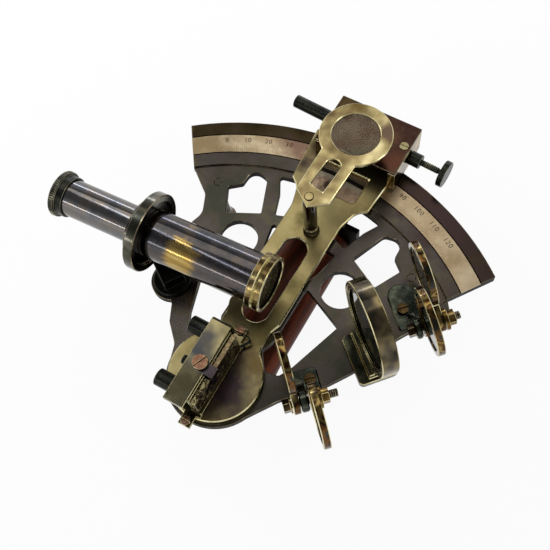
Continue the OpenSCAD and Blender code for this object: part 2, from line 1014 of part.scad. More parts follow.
module shade_nuts() {
    color(nut_brown) {
        on_axis(index_axis) {
            washer(1, index_a[0] - air);
            washer(index_b[0] + shade_t + air, index_nut, 4.4);
            hex_nut(index_nut);
        }
        on_axis(horizon_axis) {
            washer(horizon_b[0] + shade_t + air, horizon_a[0] - air);
            washer(horizon_a[0] + shade_t + air, horizon_nut, 4.4);
            hex_nut(horizon_nut);
        }
    }
}

// Index arm. A concave fillet joins the round end to the neck
neck_reach = arm_end_r + neck_fillet - 0.05;
neck_c = [neck_half + neck_fillet, sqrt(pow(neck_reach, 2) - pow(neck_half + neck_fillet, 2))];
neck_arc = atan2(neck_c.y, neck_c.x);

module arm_outline() {
    fillet = [for (i = [0:8]) let (p = neck_c + polar(neck_fillet, 180 + neck_arc * (1 - i / 8)))
        [p.x, p.y, 0]];
    right = [[neck_half, 25.5, 2.5], [arm_half_w, 30, 3], [arm_half_w, head_window_y - 12.1, 10],
        [14.4, head_window_y - 3.3, 7], [18.6, head_window_y, 0.6], [20.2, box_front + 5, 30],
        [20.3, box_back - 1, 0.6]];
    left = [[box_left, box_back - 1, 0.6], [box_left, limb_r - 0.5, 1], [-21, limb_r - 0.5, 1],
        [-18.6, head_window_y, 0.6], [-14.4, head_window_y - 3.3, 7], [-arm_half_w, head_window_y - 12.1, 10],
        [-arm_half_w, 30, 3], [-neck_half, 25.5, 2.5]];
    polygon(smooth(concat(fillet, right, left, flip(fillet))));
    circle(r = arm_end_r);
}

module arm_slot() {
    slot_from = 31.5;
    slot_to = 62;
    for (y = [slot_from, slot_to])
        translate([0, y])
            circle(r = arm_slot_half);
    translate([-arm_slot_half, slot_from])
        square([2 * arm_slot_half, slot_to - slot_from]);
}

module head_window() {
    polygon(smooth([[head_window_left, head_window_y, 2], [head_window_right, head_window_y, 2],
        [head_window_right, head_window_end, 0], [head_window_left, head_window_end, 0]]));
}

module index_arm() {
    color(olive)
        on_arm()
            plate(arm_z, arm_t)
                difference() {
                    arm_outline();
                    arm_slot();
                    head_window();
                    translate([-opening_half, lip_in - 0.6])
                        square([2 * opening_half, tongue_out + 0.7 - lip_in + 0.6]);
                    circle(r = journal_neck_r);
                    translate([post_x, post_y])
                        circle(r = post_spigot_r);
                    for (p = cradle_screws)
                        rotate([0, 0, mirror_turn])
                            translate(p)
                                circle(r = cradle_screw_r);
                }
}

journal_neck_r = 3.2;
post_spigot_r = 1.6;
cradle_screw_r = 0.9;
cradle_screws = [[-5.6, 4.5], [-5.6, -8.5]];

module pivot_journal() {
    collar_r = 6;
    color(olive)
        difference() {
            union() {
                translate([0, 0, web_z + contact_gap])
                    cylinder(r = collar_r, h = arm_z - web_z - contact_gap);
                translate([0, 0, under_z - bush_flange_t - contact_gap])
                    cylinder(r = journal_r, h = arm_z - under_z + bush_flange_t);
                translate([0, 0, arm_z - 0.1])
                    cylinder(r = journal_neck_r, h = arm_t + 0.1);
            }
            translate([0, 0, under_z - 3])
                cylinder(r = 1.2, h = 6.5);
        }
}

module pivot_screw() {
    washer_t = 1.2;
    low = under_z - bush_flange_t - contact_gap;
    color(nut_brown)
        translate([0, 0, low]) {
            translate([0, 0, -washer_t])
                difference() {
                    cylinder(r = foot_cup_r - 0.5, h = washer_t);
                    translate([0, 0, -1])
                        cylinder(r = 1.2, h = washer_t + 2);
                }
            translate([0, 0, -washer_t])
                mirror([0, 0, 1])
                    slotted_screw(2.4, 1.6, 1.2, 4);
        }
}

vernier_r = scale_r_in - 2.8;

// Plate beside the scale, seen through the arm's window
module vernier() {
    color(rosy)
        on_arm()
            plate(arm_z, arm_t - 0.6)
                intersection() {
                    difference() {
                        circle(r = vernier_r);
                        circle(r = head_window_y - 1);
                    }
                    head_window();
                }
}

module end_box() {
    color(bronze)
        on_arm()
            difference() {
                union() {
                    box(box_left, box_right, box_front, box_back, arm_top, cover_z);
                    box(20.35, box_right, limb_r - 3, box_back, arm_z, arm_top + 0.1);
                    box(box_left, box_right, box_back - 1, box_back, arm_z, arm_top + 0.1);
                }
                box(box_left + box_wall, box_right - box_wall, box_front - 1, box_back - box_wall,
                    arm_top - 1, cover_z + 1);
                on_box_screw() {
                    xcyl(barrel_r, box_left - 1, box_left + box_wall + 1);
                    xcyl(boss_spigot_r, box_right - boss_spigot_len, box_right + 1);
                    xcyl(screw_r + 0.3, box_right - box_wall - 1, box_right);
                }
                cover_screw_places()
                    translate([0, 0, cover_z - cover_screw_len])
                        cylinder(r = cover_screw_r, h = cover_screw_len + 1);
            }
}

boss_spigot_r = 2.4;
boss_spigot_len = 1.6;
cover_screw_r = 0.95;
cover_screw_len = 3;
cover_head_r = 1.9;

module cover_screw_places() {
    for (p = [[box_right - 2.9, box_back - 11.1], [box_left + 1.9, box_front + 4.5]])
        translate([p.x, p.y, 0])
            children();
}

module cover() {
    color("#4a2f35")
        on_arm()
            difference() {
                box(box_left, box_right, box_front, box_back, cover_z, cover_z + cover_t);
                cover_screw_places() {
                    translate([0, 0, cover_z - 1])
                        cylinder(r = cover_screw_r, h = 4);
                    translate([0, 0, cover_z + cover_t - 0.7])
                        cylinder(r = cover_head_r, h = 2);
                }
            }
}

module cover_screws() {
    color(olive)
        on_arm()
            cover_screw_places()
                translate([0, 0, cover_z + cover_t - 0.7])
                    slotted_screw(cover_head_r, 0.9, cover_screw_r, cover_screw_len);
}

plunger_r = 1.95;
plunger_play = 0.06;
barrel_wall_end = 1.6;
spring_end = -20;

module spring_barrel() {
    color(black)
        on_screw_line()
            difference() {
                xcyl(barrel_r, barrel_end, box_left + box_wall);
                xcyl(plunger_r + plunger_play, barrel_end + barrel_wall_end, box_left + box_wall + 1);
            }
}

screw_boss_r = 3.1;
boss_len = 5.3;
boss_off = screw_boss_r * tan(abs(screw_turn)) + 0.02;

module tangent_boss() {
    color(black)
        on_screw_line()
            difference() {
                union() {
                    xcyl(boss_spigot_r, box_right - boss_spigot_len, box_right + boss_off + 1);
                    xcyl(screw_boss_r, box_right + boss_off, box_right + boss_off + boss_len);
                }
                xcyl(screw_r + journal_clear, box_right - box_wall, box_right + boss_len + 2);
            }
}

pad_len = 3;
// The pad and the plunger lean with the screw, so they keep this far from the tongue
lean_gap = 0.2;
pad_x = tongue_half + lean_gap;

module thrust_pad() {
    color(olive)
        on_screw_line()
            xcyl(2.3, pad_x, pad_x + pad_len);
}

module tangent_screw() {
    knob_x = box_right + 15.2;
    color(black)
        on_screw_line() {
            xcyl(screw_r, pad_x + pad_len + contact_gap, knob_x - 2 * screw_pitch);
            xcyl(screw_r - 0.25, knob_x - 3 * screw_pitch, knob_x + 0.5);
            xcyl(knob_r, knob_x, knob_x + knob_t);
        }
}

module plunger() {
    color(olive)
        on_screw_line() {
            xcyl(1.4, box_left + box_wall - 1.5, -tongue_half - lean_gap);
            xcyl(plunger_r, spring_end, box_left + box_wall - 1.2);
        }
}

module spring() {
    color("silver")
        on_screw_line()
            difference() {
                xcyl(1.6, barrel_end + barrel_wall_end, spring_end);
                xcyl(1.1, barrel_end, spring_end + 1);
            }
}

// Clamp: a block round the rim of the arc, with a lip above it and a screwed shoe below
jaw_top = under_z - 2.8;
jaw_t = 4.3;
jaw_in = limb_r - 12;
jaw_half = 9;
clamp_y = limb_r - 6;
clamp_screw_r = 1.9;
shoe_t = 1.5;

module clamp_block() {
    color(bronze)
        on_arm()
            difference() {
                union() {
                    box(-jaw_half, jaw_half, jaw_in, tongue_out, jaw_top - jaw_t, jaw_top);
                    box(-jaw_half, jaw_half, tongue_in, tongue_out, jaw_top - 1, arm_z - air);
                    box(-tongue_half, tongue_half, screw_y - 3.5, tongue_out, face_z + air,
                        face_z + screw_z + 3.4);
                    box(-tongue_half, tongue_half, tongue_in, tongue_out, arm_z - 1, arm_top);
                    box(-tongue_half, tongue_half, lip_in, tongue_in + 1, face_z + air, arm_top - 0.1);
                }
                translate([0, 0, jaw_top])
                    cylinder(r = limb_r + 0.5, h = face_z + air - jaw_top);
                translate([0, clamp_y, 0])
                    cylinder(r = clamp_screw_r + journal_clear, h = face_z);
            }
}

module clamp_shoe() {
    color(olive)
        on_arm()
            box(-5, 5, clamp_y - 4, clamp_y + 4, under_z - air - shoe_t, under_z - air);
}

module clamp_screw() {
    knob_top = jaw_top - jaw_t - 1.6;
    color(bronze)
        on_arm()
            translate([0, clamp_y, 0]) {
                translate([0, 0, knob_top - 1])
                    cylinder(r = clamp_screw_r, h = under_z - air - shoe_t - contact_gap - knob_top + 1);
                translate([0, 0, knob_top - 5])
                    cylinder(r = 5.8, h = 5);
            }
}

// Magnifier
magnifier_turn = -3.9;
rivet_r = 1.3;
rivet_head_t = 0.4;
key_x = 0.2;
key_y = 16.6;
key_half = 3.2;

module on_magnifier() {
    on_arm()
        translate([post_x, post_y, face_z + mag_z])
            rotate([0, 0, magnifier_turn])
                children();
}

module magnifier_post() {
    post_h = face_z + mag_z - contact_gap - arm_top;
    color(bronze)
        on_arm()
            translate([post_x, post_y, arm_z]) {
                cylinder(r = post_spigot_r, h = arm_t + 1);
                translate([0, 0, arm_t])
                    difference() {
                        rotate_extrude()
                            polygon([[0, 0], [post_r + 0.7, 0], [post_r + 0.7, 1.2], [post_r, 2.4],
                                [post_r, 4.2], [post_r - 0.5, 4.5], [post_r - 0.5, 5.1], [post_r, 5.4],
                                [post_r, post_h], [0, post_h]]);
                        translate([0, 0, post_h - 3])
                            cylinder(r = rivet_r, h = 5);
                    }
            }
}

module magnifier_rivet() {
    color(olive)
        on_magnifier() {
            translate([0, 0, -contact_gap - 3])
                cylinder(r = rivet_r, h = 3 + 2 * contact_gap + mag_t);
            translate([0, 0, mag_t + contact_gap])
                cylinder(r = 1.9, h = rivet_head_t);
        }
}

module magnifier_arm() {
    color(olive)
        on_magnifier()
            linear_extrude(height = mag_t)
                difference() {
                    union() {
                        translate([0, mag_len])
                            circle(r = mag_r);
                        polygon(smooth([[-6.6, 0.6, 0.5], [1.7, -4.3, 0.5], [8.3, 1.4, 0.5],
                            [7.6, mag_len - 10, 0.5], [-8.2, mag_len - 10, 0.5]]));
                    }
                    translate([0, mag_len])
                        circle(r = mag_lens_r);
                    circle(r = rivet_r + journal_clear);
                    translate([key_x, key_y])
                        circle(r = key_half);
                    polygon([[key_x - key_half, 5.4], [key_x + key_half, 4.4], [key_x + key_half, key_y],
                        [key_x - key_half, key_y]]);
                }
}

module magnifier_lens() {
    color(steel_blue)
        on_magnifier()
            translate([0, mag_len, 0.2])
                cylinder(r = mag_lens_r, h = mag_t - 0.4);
}

// Index mirror and its case, seen along the mirror
cradle_t = 1.4;
wall_top = case_top - 1.2;
glass_x = 1.6;
lip_x = glass_x + mirror_t;
lip_t = 0.8;
case_left = -7.6;
case_right = 1;
case_y0 = -20.2;
case_y1 = case_y0 + case_len;
glass_y0 = -16.8;
pillar = [-4.8, 0, -5, 1];
case_screw = [-1.8, -2.5];
case_screw_turn = 66;

module mirror_cradle() {
    color(olive)
        on_mirror()
            translate([0, 0, face_z])
                difference() {
                    union() {
                        box(-7.4, lip_x + lip_t, -18.2, case_y1 - 0.6, arm_gap + arm_t,
                            arm_gap + arm_t + cradle_t);
                        box(lip_x, lip_x + lip_t, glass_y0, glass_y0 + mirror_len, arm_gap + arm_t,
                            arm_gap + arm_t + cradle_t + 1.2);
                        box(0, glass_x, glass_y0, glass_y0 + mirror_len, arm_gap + arm_t, wall_top);
                        box(pillar[0], pillar[1] + 0.5, pillar[2], pillar[3], arm_gap + arm_t, wall_top);
                        box(ear_x - ear_half, ear_x + ear_half, ear_ys[0] - 1.9, ear_ys[1] + 1.9,
                            arm_gap + arm_t, arm_gap + arm_t + cradle_t);
                    }
                    translate([case_screw.x, case_screw.y, wall_top - 6])
                        cylinder(r = case_screw_r, h = 7);
                    for (y = adjuster_ys)
                        translate([0, y, adjuster_h])
                            xcyl(adjuster_pin_r, -1, glass_x - 0.4);
                    translate([0, case_screw.y, adjuster_h])
                        xcyl(0.9, -8, pillar[0] + 3);
                    for (y = ear_ys)
                        translate([ear_x, y, 0])
                            cylinder(r = ear_screw_r, h = 8);
                    for (p = cradle_screws)
                        translate([p.x, p.y, 0])
                            cylinder(r = cradle_screw_r, h = 8);
                }
}

case_screw_r = 1.1;
adjuster_ys = [case_y0 + 7.2, case_y1 - 4.9];
adjuster_h = 12;
adjuster_pin_r = 1.4;
adjuster_end = -16.1;
ear_x = 0.2;
ear_ys = [case_y0 - 1.4, case_y1 + 3.6];
ear_half = 2.6;

ear_screw_r = 0.7;

module mirror_case() {
    top_t = 1.2;
    bend_r = 1.8;
    color(olive)
        on_mirror()
            translate([0, 0, face_z])
                difference() {
                    translate([case_left, 0, 0])
                        rotate([90, 0, 90])
                            linear_extrude(height = case_right - case_left)
                                polygon(smooth([[case_y0, case_top, 0.3], [case_y0, case_top - 2.8, 0],
                                    [case_y0 + 0.9, case_top - 2.8, 0],
                                    [case_y0 + 0.9, case_top - top_t, 0.3],
                                    [case_y1 - top_t, case_top - top_t, bend_r - top_t],
                                    [case_y1 - top_t, case_top - 8, 0], [case_y1, case_top - 8, 0],
                                    [case_y1, case_top, bend_r]]));
                    translate([case_screw.x, case_screw.y, case_top - 3])
                        cylinder(r = case_screw_r, h = 5);
                }
}

module mirror_clip() {
    clip_t = 0.6;
    clip_half = 2.2;
    mid_y = case_screw.y - 0.9;
    reach = 4.4;
    color(black)
        on_mirror()
            translate([0, 0, face_z])
                difference() {
                    union() {
                        box(case_screw.x - 1.6, reach + clip_t, mid_y - clip_half, mid_y + clip_half,
                            case_top, case_top + clip_t);
                        box(reach, reach + clip_t, mid_y - clip_half, mid_y + clip_half,
                            case_top - 2.8, case_top + clip_t);
                        translate([case_screw.x, case_screw.y, case_top])
                            cylinder(r = 3.3, h = clip_t);
                    }
                    translate([case_screw.x, case_screw.y, case_top - 1])
                        cylinder(r = case_screw_r, h = 3);
                }
}

module case_screws() {
    color(nut_brown)
        on_mirror()
            translate([0, 0, face_z]) {
                translate([case_screw.x, case_screw.y, case_top + 0.6])
                    rotate([0, 0, case_screw_turn])
                        slotted_screw(3, 1.7, case_screw_r, 6);
                for (y = ear_ys)
                    translate([ear_x, y, arm_gap + arm_t + cradle_t])
                        slotted_screw(1.9, 1.2, ear_screw_r, 1.3);
                for (p = cradle_screws)
                    translate([p.x, p.y, arm_gap + arm_t + cradle_t])
                        slotted_screw(1.5, 0.9, cradle_screw_r, cradle_t + arm_t);
            }
}

module index_mirror() {
    color(steel_blue)
        on_mirror()
            box(glass_x, glass_x + mirror_t, glass_y0, glass_y0 + mirror_len,
                arm_top + cradle_t, face_z + case_top - 2.6);
}

// Two barrels and a small screw that tilt the mirror
module adjusters() {
    color(black)
        on_mirror()
            translate([0, 0, face_z + adjuster_h]) {
                for (y = adjuster_ys)
                    translate([0, y, 0]) {
                        xcyl(adjuster_r, adjuster_end, 0);
                        xcyl(adjuster_pin_r, -1, glass_x - 0.5);
                    }
                translate([0, case_screw.y, 0]) {
                    xcyl(0.9, adjuster_end + 6.5, pillar[0] + 2.5);
                    xcyl(1.9, adjuster_end + 4.8, adjuster_end + 7.4);
                }
            }
}

frame();
scale();
rear_feet();
pivot_foot();
pivot_bush();
grip();
grip_rod();
grip_upper_bracket();
grip_lower_bracket();
grip_screws();
telescope_bracket();
telescope_ring();
main_tube();
objective_cell();
objective_lens();
horizon_frame();
horizon_glass();
horizon_retainer();
horizon_adjuster();
shade_brackets();
bracket_screws();
shade_screws();
shade_nuts();
index_arm();
pivot_journal();
pivot_screw();
vernier();
end_box();
cover();
cover_screws();
spring_barrel();
tangent_boss();
magnifier_post();
magnifier_rivet();
mirror_cradle();
mirror_case();
mirror_clip();
case_screws();
index_mirror();
adjusters();
thrust_pad();
tangent_screw();
plunger();
spring();
clamp_block();
clamp_shoe();
clamp_screw();
magnifier_arm();
magnifier_lens();
draw_tube();
eyepiece_cap();
eyepiece_lens();
index_shade_a();
index_glass_a();
index_shade_b();
index_glass_b();
horizon_shade_a();
horizon_glass_a();
horizon_shade_b();
horizon_glass_b();
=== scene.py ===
import json
import math

import bmesh
import bpy
from mathutils import Matrix, Vector


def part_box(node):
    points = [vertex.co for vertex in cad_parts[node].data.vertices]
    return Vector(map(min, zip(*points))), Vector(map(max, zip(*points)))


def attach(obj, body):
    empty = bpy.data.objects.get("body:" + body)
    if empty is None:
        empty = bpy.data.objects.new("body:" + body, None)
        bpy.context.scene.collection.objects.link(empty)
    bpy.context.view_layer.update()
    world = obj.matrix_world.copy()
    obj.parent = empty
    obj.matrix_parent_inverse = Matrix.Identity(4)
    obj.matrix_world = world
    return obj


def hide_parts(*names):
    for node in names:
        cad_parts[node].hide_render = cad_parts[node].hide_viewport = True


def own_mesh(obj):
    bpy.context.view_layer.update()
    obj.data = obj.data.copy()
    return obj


# %% [markdown]
# A small brass sextant lies on its three feet with its face up. The frame below gives every solid
# at its real place and size, in metres. This lesson dresses those solids: each one is copied, its
# hard edges are chamfered as a file would leave them, and it gets the finish of the old metal,
# wood or glass that it is made of. Marks, threads and knurling are then added on top.

# %% Load the frame
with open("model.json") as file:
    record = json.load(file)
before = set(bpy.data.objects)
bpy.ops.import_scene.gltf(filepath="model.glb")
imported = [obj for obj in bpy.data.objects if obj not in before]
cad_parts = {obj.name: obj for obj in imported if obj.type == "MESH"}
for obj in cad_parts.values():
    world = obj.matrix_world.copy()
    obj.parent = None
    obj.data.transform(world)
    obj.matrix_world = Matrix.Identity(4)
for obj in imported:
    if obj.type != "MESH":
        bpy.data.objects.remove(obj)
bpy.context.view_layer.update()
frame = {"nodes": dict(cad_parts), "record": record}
nodes = frame["nodes"]
MM = 0.001
body_of = {n: body for body, names in frame["record"]["behaviour"]["bodies"].items() for n in names}
joint_of = {joint["name"]: joint for joint in frame["record"]["behaviour"]["joints"]}
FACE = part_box("frame")[1][2]
print("the frame's face is", round(FACE / MM, 1), "mm up")

# %% [markdown]
# The photograph was taken from above the pivot's side, with the arc's middle pointing up and to
# the right. A camera is just a place and three directions: its right, its up and the way back from
# the subject. The field of view comes from the lens and the sensor. Writing the three directions
# down keeps the angle exact, where a camera aimed at a point would lose its tilt.


# %% Camera at the photo's viewing angle
def put(name, data):
    """An object with this data, linked to the scene."""
    obj = bpy.data.objects.new(name, data)
    bpy.context.scene.collection.objects.link(obj)
    return obj


CAMERA_PLACE = (0.08651, -0.05631, 0.33584)
CAMERA_RIGHT = (0.85499, 0.51373, -0.07127)
CAMERA_UP = (-0.44529, 0.79755, 0.40698)
CAMERA_BACK = (0.26592, -0.31623, 0.91065)
lens = bpy.data.cameras.new("camera")
lens.lens = 52.36
lens.sensor_width = 36.0
camera = put("camera", lens)
camera_turn = Matrix((CAMERA_RIGHT, CAMERA_UP, CAMERA_BACK)).transposed()
camera.matrix_world = Matrix.Translation(CAMERA_PLACE) @ camera_turn.to_4x4()
bpy.context.scene.camera = camera
print("the camera is", round(Vector(CAMERA_PLACE).length / MM), "mm from the pivot's foot")

# %% [markdown]
# Every finish is a small tree of shader nodes. Two helpers keep the trees short: one turns a hex
# colour, as a paint chart gives it, into the linear light that a renderer works in, and one adds a
# node with its settings and its links. A third starts a material with nothing but its shader, so
# that each value that is the same all over the surface is set on the shader's own socket.


# %% Helpers for shader and geometry trees
def linear(colour):
    parts = [int(colour[i:i + 2], 16) / 255 for i in (1, 3, 5)]
    return [p / 12.92 if p <= 0.04045 else ((p + 0.055) / 1.055) ** 2.4 for p in parts] + [1.0]


def add(tree, kind, settings=None, **inputs):
    """One node. An input is a value or the socket that it is linked from. Its name is the socket's
    name with _ for a space, or i and the socket's number where several have the same name."""
    node = tree.nodes.new(kind)
    for name, value in (settings or {}).items():
        if name == "stops":
            for i, (at, colour) in enumerate(value):
                stop = node.color_ramp.elements[i] if i < 2 else node.color_ramp.elements.new(at)
                stop.position = at
                stop.color = linear(colour)
        else:
            setattr(node, name, value)
    for name, value in inputs.items():
        numbered = name[0] == "i" and name[1:].isdigit()
        socket = node.inputs[int(name[1:]) if numbered else name.replace("_", " ")]
        if isinstance(value, bpy.types.NodeSocket):
            tree.links.new(value, socket)
        else:
            socket.default_value = value
    return node


def blank(title, **shader_values):
    """A new material with only a Principled shader in it, its tree and that shader."""
    material = bpy.data.materials.new(title)
    material.use_nodes = True
    tree = material.node_tree
    shader = tree.nodes["Principled BSDF"]
    for name, value in shader_values.items():
        shader.inputs[name.replace("_", " ")].default_value = value
    return material, tree, shader


print("brass as #958960 is", [round(part, 3) for part in linear("#958960")[:3]], "in linear light")

# %% [markdown]
# Old brass is never one colour. Where the lacquer or the brown toning is thick it is nearly black,
# where hands rub it, it is olive or gold. Painting that by hand would need an image for each piece,
# so it is built from rules in place of that: stains at named places, and other tones past a radius
# from the pivot, where the arc begins.


# %% Stains and tones past a radius
def even_stops(tones):
    """Tones as a colour ramp takes them, at even steps from 0 to 1."""
    return [(i / (len(tones) - 1), tone) for i, tone in enumerate(tones)]


def past_radius(tree, place, spread, colour, radius, tones):
    """Other tones for what lies farther from the pivot's axis than radius, in mm."""
    flat = add(tree, "ShaderNodeVectorMath", {"operation": "MULTIPLY"}, i0=place, i1=(1, 1, 0))
    far = add(tree, "ShaderNodeVectorMath", {"operation": "LENGTH"}, i0=flat.outputs[0])
    edge = radius * MM
    mask = add(tree, "ShaderNodeMapRange", Value=far.outputs["Value"], From_Min=edge - 0.1 * MM,
               From_Max=edge + 0.1 * MM)
    other = add(tree, "ShaderNodeValToRGB", {"stops": even_stops(tones)}, Fac=spread)
    return add(tree, "ShaderNodeMix", {"data_type": "RGBA"}, Factor=mask.outputs[0], i6=colour,
               i7=other.outputs["Color"]).outputs[2]


def stained(tree, place, spread, colour, stain):
    """A ragged stain: x, y, z and radius in mm, and its tone."""
    x, y, z, radius, tone = stain
    away = add(tree, "ShaderNodeVectorMath", {"operation": "DISTANCE"}, i0=place,
               i1=(x * MM, y * MM, z * MM))
    ragged = add(tree, "ShaderNodeMath", {"operation": "MULTIPLY_ADD"}, i0=spread, i1=radius * MM * 0.7,
                 i2=away.outputs["Value"])
    mask = add(tree, "ShaderNodeMapRange", Value=ragged.outputs[0], From_Min=radius * MM * 1.25,
               From_Max=radius * MM * 0.55)
    return add(tree, "ShaderNodeMix", {"data_type": "RGBA"}, Factor=mask.outputs[0], i6=colour,
               i7=linear(tone)).outputs[2]


# %% [markdown]
# The telescope's tube is worn in a belt where it is held. There the metal shows in streaks that run
# along the tube, and only on the side that a palm rubs. Three things add up to say where the
# blacking is gone: the distance from the belt's middle, a noise stretched along the tube, and the
# height on the tube. A threshold on their sum gives a ragged edge, as wear has.


# %% A belt worn bright
def worn_belt(tree, place, cloud, colour, across, middle, half, top, tones):
    """A belt round middle mm along the direction across, half mm to each side, up to y = top mm."""
    way = add(tree, "ShaderNodeVectorMath", {"operation": "DOT_PRODUCT"}, i0=place, i1=across)
    off = add(tree, "ShaderNodeMath", {"operation": "SUBTRACT"}, i0=way.outputs["Value"], i1=middle * MM)
    side = add(tree, "ShaderNodeMath", {"operation": "ABSOLUTE"}, i0=off.outputs[0])
    belt = add(tree, "ShaderNodeMapRange", Value=side.outputs[0], From_Min=half * MM,
               From_Max=half * 0.2 * MM)
    drawn = add(tree, "ShaderNodeMapping", Vector=place, Scale=(0.12, 1, 1))
    streaks = add(tree, "ShaderNodeTexNoise", Vector=drawn.outputs[0], Scale=1 / (1.6 * MM), Detail=3.0)
    height = add(tree, "ShaderNodeSeparateXYZ", i0=place)
    held = add(tree, "ShaderNodeMapRange", Value=height.outputs["Y"], From_Min=top * MM,
               From_Max=(top - 4) * MM, To_Min=-0.6, To_Max=0.0)
    total = add(tree, "ShaderNodeMath", {"operation": "MULTIPLY"}, i0=cloud, i1=0.9)
    for part in (belt.outputs[0], streaks.outputs["Fac"], held.outputs[0]):
        total = add(tree, "ShaderNodeMath", {"operation": "ADD"}, i0=total.outputs[0], i1=part)
    mask = add(tree, "ShaderNodeMapRange", Value=total.outputs[0], From_Min=1.36, From_Max=1.76)
    bare = add(tree, "ShaderNodeValToRGB", {"stops": even_stops(tones)}, Fac=streaks.outputs["Fac"])
    return add(tree, "ShaderNodeMix", {"data_type": "RGBA"}, Factor=mask.outputs[0], i6=colour,
               i7=bare.outputs["Color"]).outputs[2]


# %% [markdown]
# Each metal is then a cloud of tones, a finer mottle that breaks the cloud up, the stains and belts
# above, and hair scratches that change the gloss. The tones are the metal's own reflection colours,
# so the shader is fully metallic and keeps its usual IOR. Real hair scratches are some hundredths
# of a millimetre wide and wouldn't show in the picture, so they are drawn 0.7 mm wide.


# %% Old metal
def old_metal(title, tones, patch=14.0, gloss=(0.2, 0.42), brushed=(1, 1, 1), stains=(), beyond=None,
              spots=0.2, worn=None, detail=4.0):
    """tones go from dark to bright and patch is the cloud's size in mm. gloss is the roughness's range,
    spots the mottle's share, and brushed stretches the scratches where a number is small."""
    material, tree, shader = blank(title, Metallic=1.0)
    place = add(tree, "ShaderNodeTexCoord").outputs["Object"]
    cloud = add(tree, "ShaderNodeTexNoise", Vector=place, Scale=1 / (patch * MM), Detail=detail,
                Roughness=0.62)
    mottle = add(tree, "ShaderNodeTexNoise", Vector=place, Scale=1 / (2.2 * MM), Detail=3.0, Roughness=0.7)
    both = add(tree, "ShaderNodeMix", Factor=spots, A=cloud.outputs["Fac"], B=mottle.outputs["Fac"])
    spread = add(tree, "ShaderNodeMapRange", Value=both.outputs[0], From_Min=0.34, From_Max=0.66).outputs[0]
    colour = add(tree, "ShaderNodeValToRGB", {"stops": even_stops(tones)}, Fac=spread).outputs["Color"]
    if beyond:
        colour = past_radius(tree, place, spread, colour, *beyond)
    for stain in stains:
        colour = stained(tree, place, spread, colour, stain)
    if worn:
        colour = worn_belt(tree, place, cloud.outputs["Fac"], colour, **worn)
    tree.links.new(colour, shader.inputs["Base Color"])
    along = add(tree, "ShaderNodeMapping", Vector=place, Scale=brushed)
    hairs = add(tree, "ShaderNodeTexNoise", Vector=along.outputs[0], Scale=1 / (0.7 * MM), Detail=2.0)
    rough = add(tree, "ShaderNodeMapRange", Value=hairs.outputs["Fac"], From_Min=0.3, From_Max=0.7,
                To_Min=gloss[0], To_Max=gloss[1])
    tree.links.new(rough.outputs[0], shader.inputs["Roughness"])
    dents = add(tree, "ShaderNodeBump", Strength=0.04, Distance=0.003 * MM, Height=hairs.outputs["Fac"])
    tree.links.new(dents.outputs[0], shader.inputs["Normal"])
    return material


# %% [markdown]
# The frame is cast and filed, then darkened brown with a purple cast. Its arc is a shade warmer and
# the toning has rubbed through to gold at both cut ends. The windows' walls get a finish of their
# own, rougher than the face and black: painted shade, so that the openings read as deep.

# %% Frame finish
# Toned casting: a soft even sheen, nearly black brown, that lets the openings stand out.
frame_metal = old_metal(
    "toned_brass_casting",
    ["#393a33", "#433f38", "#474240", "#4d493d", "#403f3b"],
    patch=20.0,
    gloss=(0.26, 0.28),
    spots=0.06,
    detail=3.0,
    stains=[
        (-80.0, 92.0, 33.0, 9.0, "#7d6c3c"),
        (-64.0, 76.0, 33.0, 6.0, "#5d5136"),
        (93.0, 72.0, 33.0, 9.0, "#9c8a5a"),
        (80.0, 62.0, 33.0, 6.0, "#8a7450"),
        (46.0, 108.0, 33.0, 26.0, "#3b2f30"),
        (72.0, 88.0, 33.0, 20.0, "#3d3230"),
        (62.0, 76.0, 33.0, 12.0, "#4a3f3a"),
    ],
    beyond=(108.0, ["#292216", "#362d1d", "#3f3526", "#453930"]),
)
# Bores and walls: dull and black. Tubes are blackened inside; on the frame's window walls and groove
# chamfers the black is painted shade, so that an opening reads as deep.
black_bore_and_painted_shade = old_metal("black_bores_and_painted_wall_shade", ["#0b0908", "#13100d", "#1f1a15"], patch=9.0,
                         gloss=(0.5, 0.65))
# Rubbed chamfer: brass rubbed through on the edge and paled further as a painted highlight, a thin pale line
# round a dark piece.
rubbed_edge_and_painted_highlight = old_metal("rubbed_edge_with_painted_highlight", ["#3f382c", "#665c48", "#a0957a"], patch=9.0,
                        gloss=(0.2, 0.3))
print("frame finishes:", frame_metal.name, black_bore_and_painted_shade.name, rubbed_edge_and_painted_highlight.name)

# %% [markdown]
# The arm, the magnifier and the mirror's case are the pieces that hands polish: olive brass with
# bright filed edges, lightened further as a painted highlight. On the arm a purple-grey sheen is
# painted in round the pivot and at the head. The arm and the magnifier are brushed along their
# length, so their scratches are stretched along Y.

# %% Polished brass finishes
# Handled brass: olive with a satin sheen. A purple-grey sheen is painted in round the pivot, and painted
# sheen and shade at the head's left by the box.
arm_brass = old_metal(
    "handled_olive_brass",
    ["#6d6240", "#847850", "#958960", "#a3986c"],
    patch=26.0,
    gloss=(0.29, 0.35),
    brushed=(1, 0.1, 1),
    spots=0.08,
    stains=[
        # painted purple-grey sheen round the pivot
        (9.0, -2.0, 35.0, 18.0, "#453a3c"),
        (13.0, 11.0, 35.0, 6.0, "#6b5c3c"),
        (2.0, -19.0, 35.0, 5.0, "#7a6838"),
        (6.0, 48.0, 35.0, 9.0, "#5d5636"),
        (-3.0, 78.0, 35.0, 8.0, "#4f4a2c"),
        # painted purple-grey sheen and shade at the head's left, by and under the box
        (-18.0, 100.0, 35.0, 12.0, "#453a34"),
        (-15.0, 112.0, 35.0, 9.0, "#3a3029"),
        (3.0, 28.0, 35.0, 5.0, "#61542f"),
    ],
)
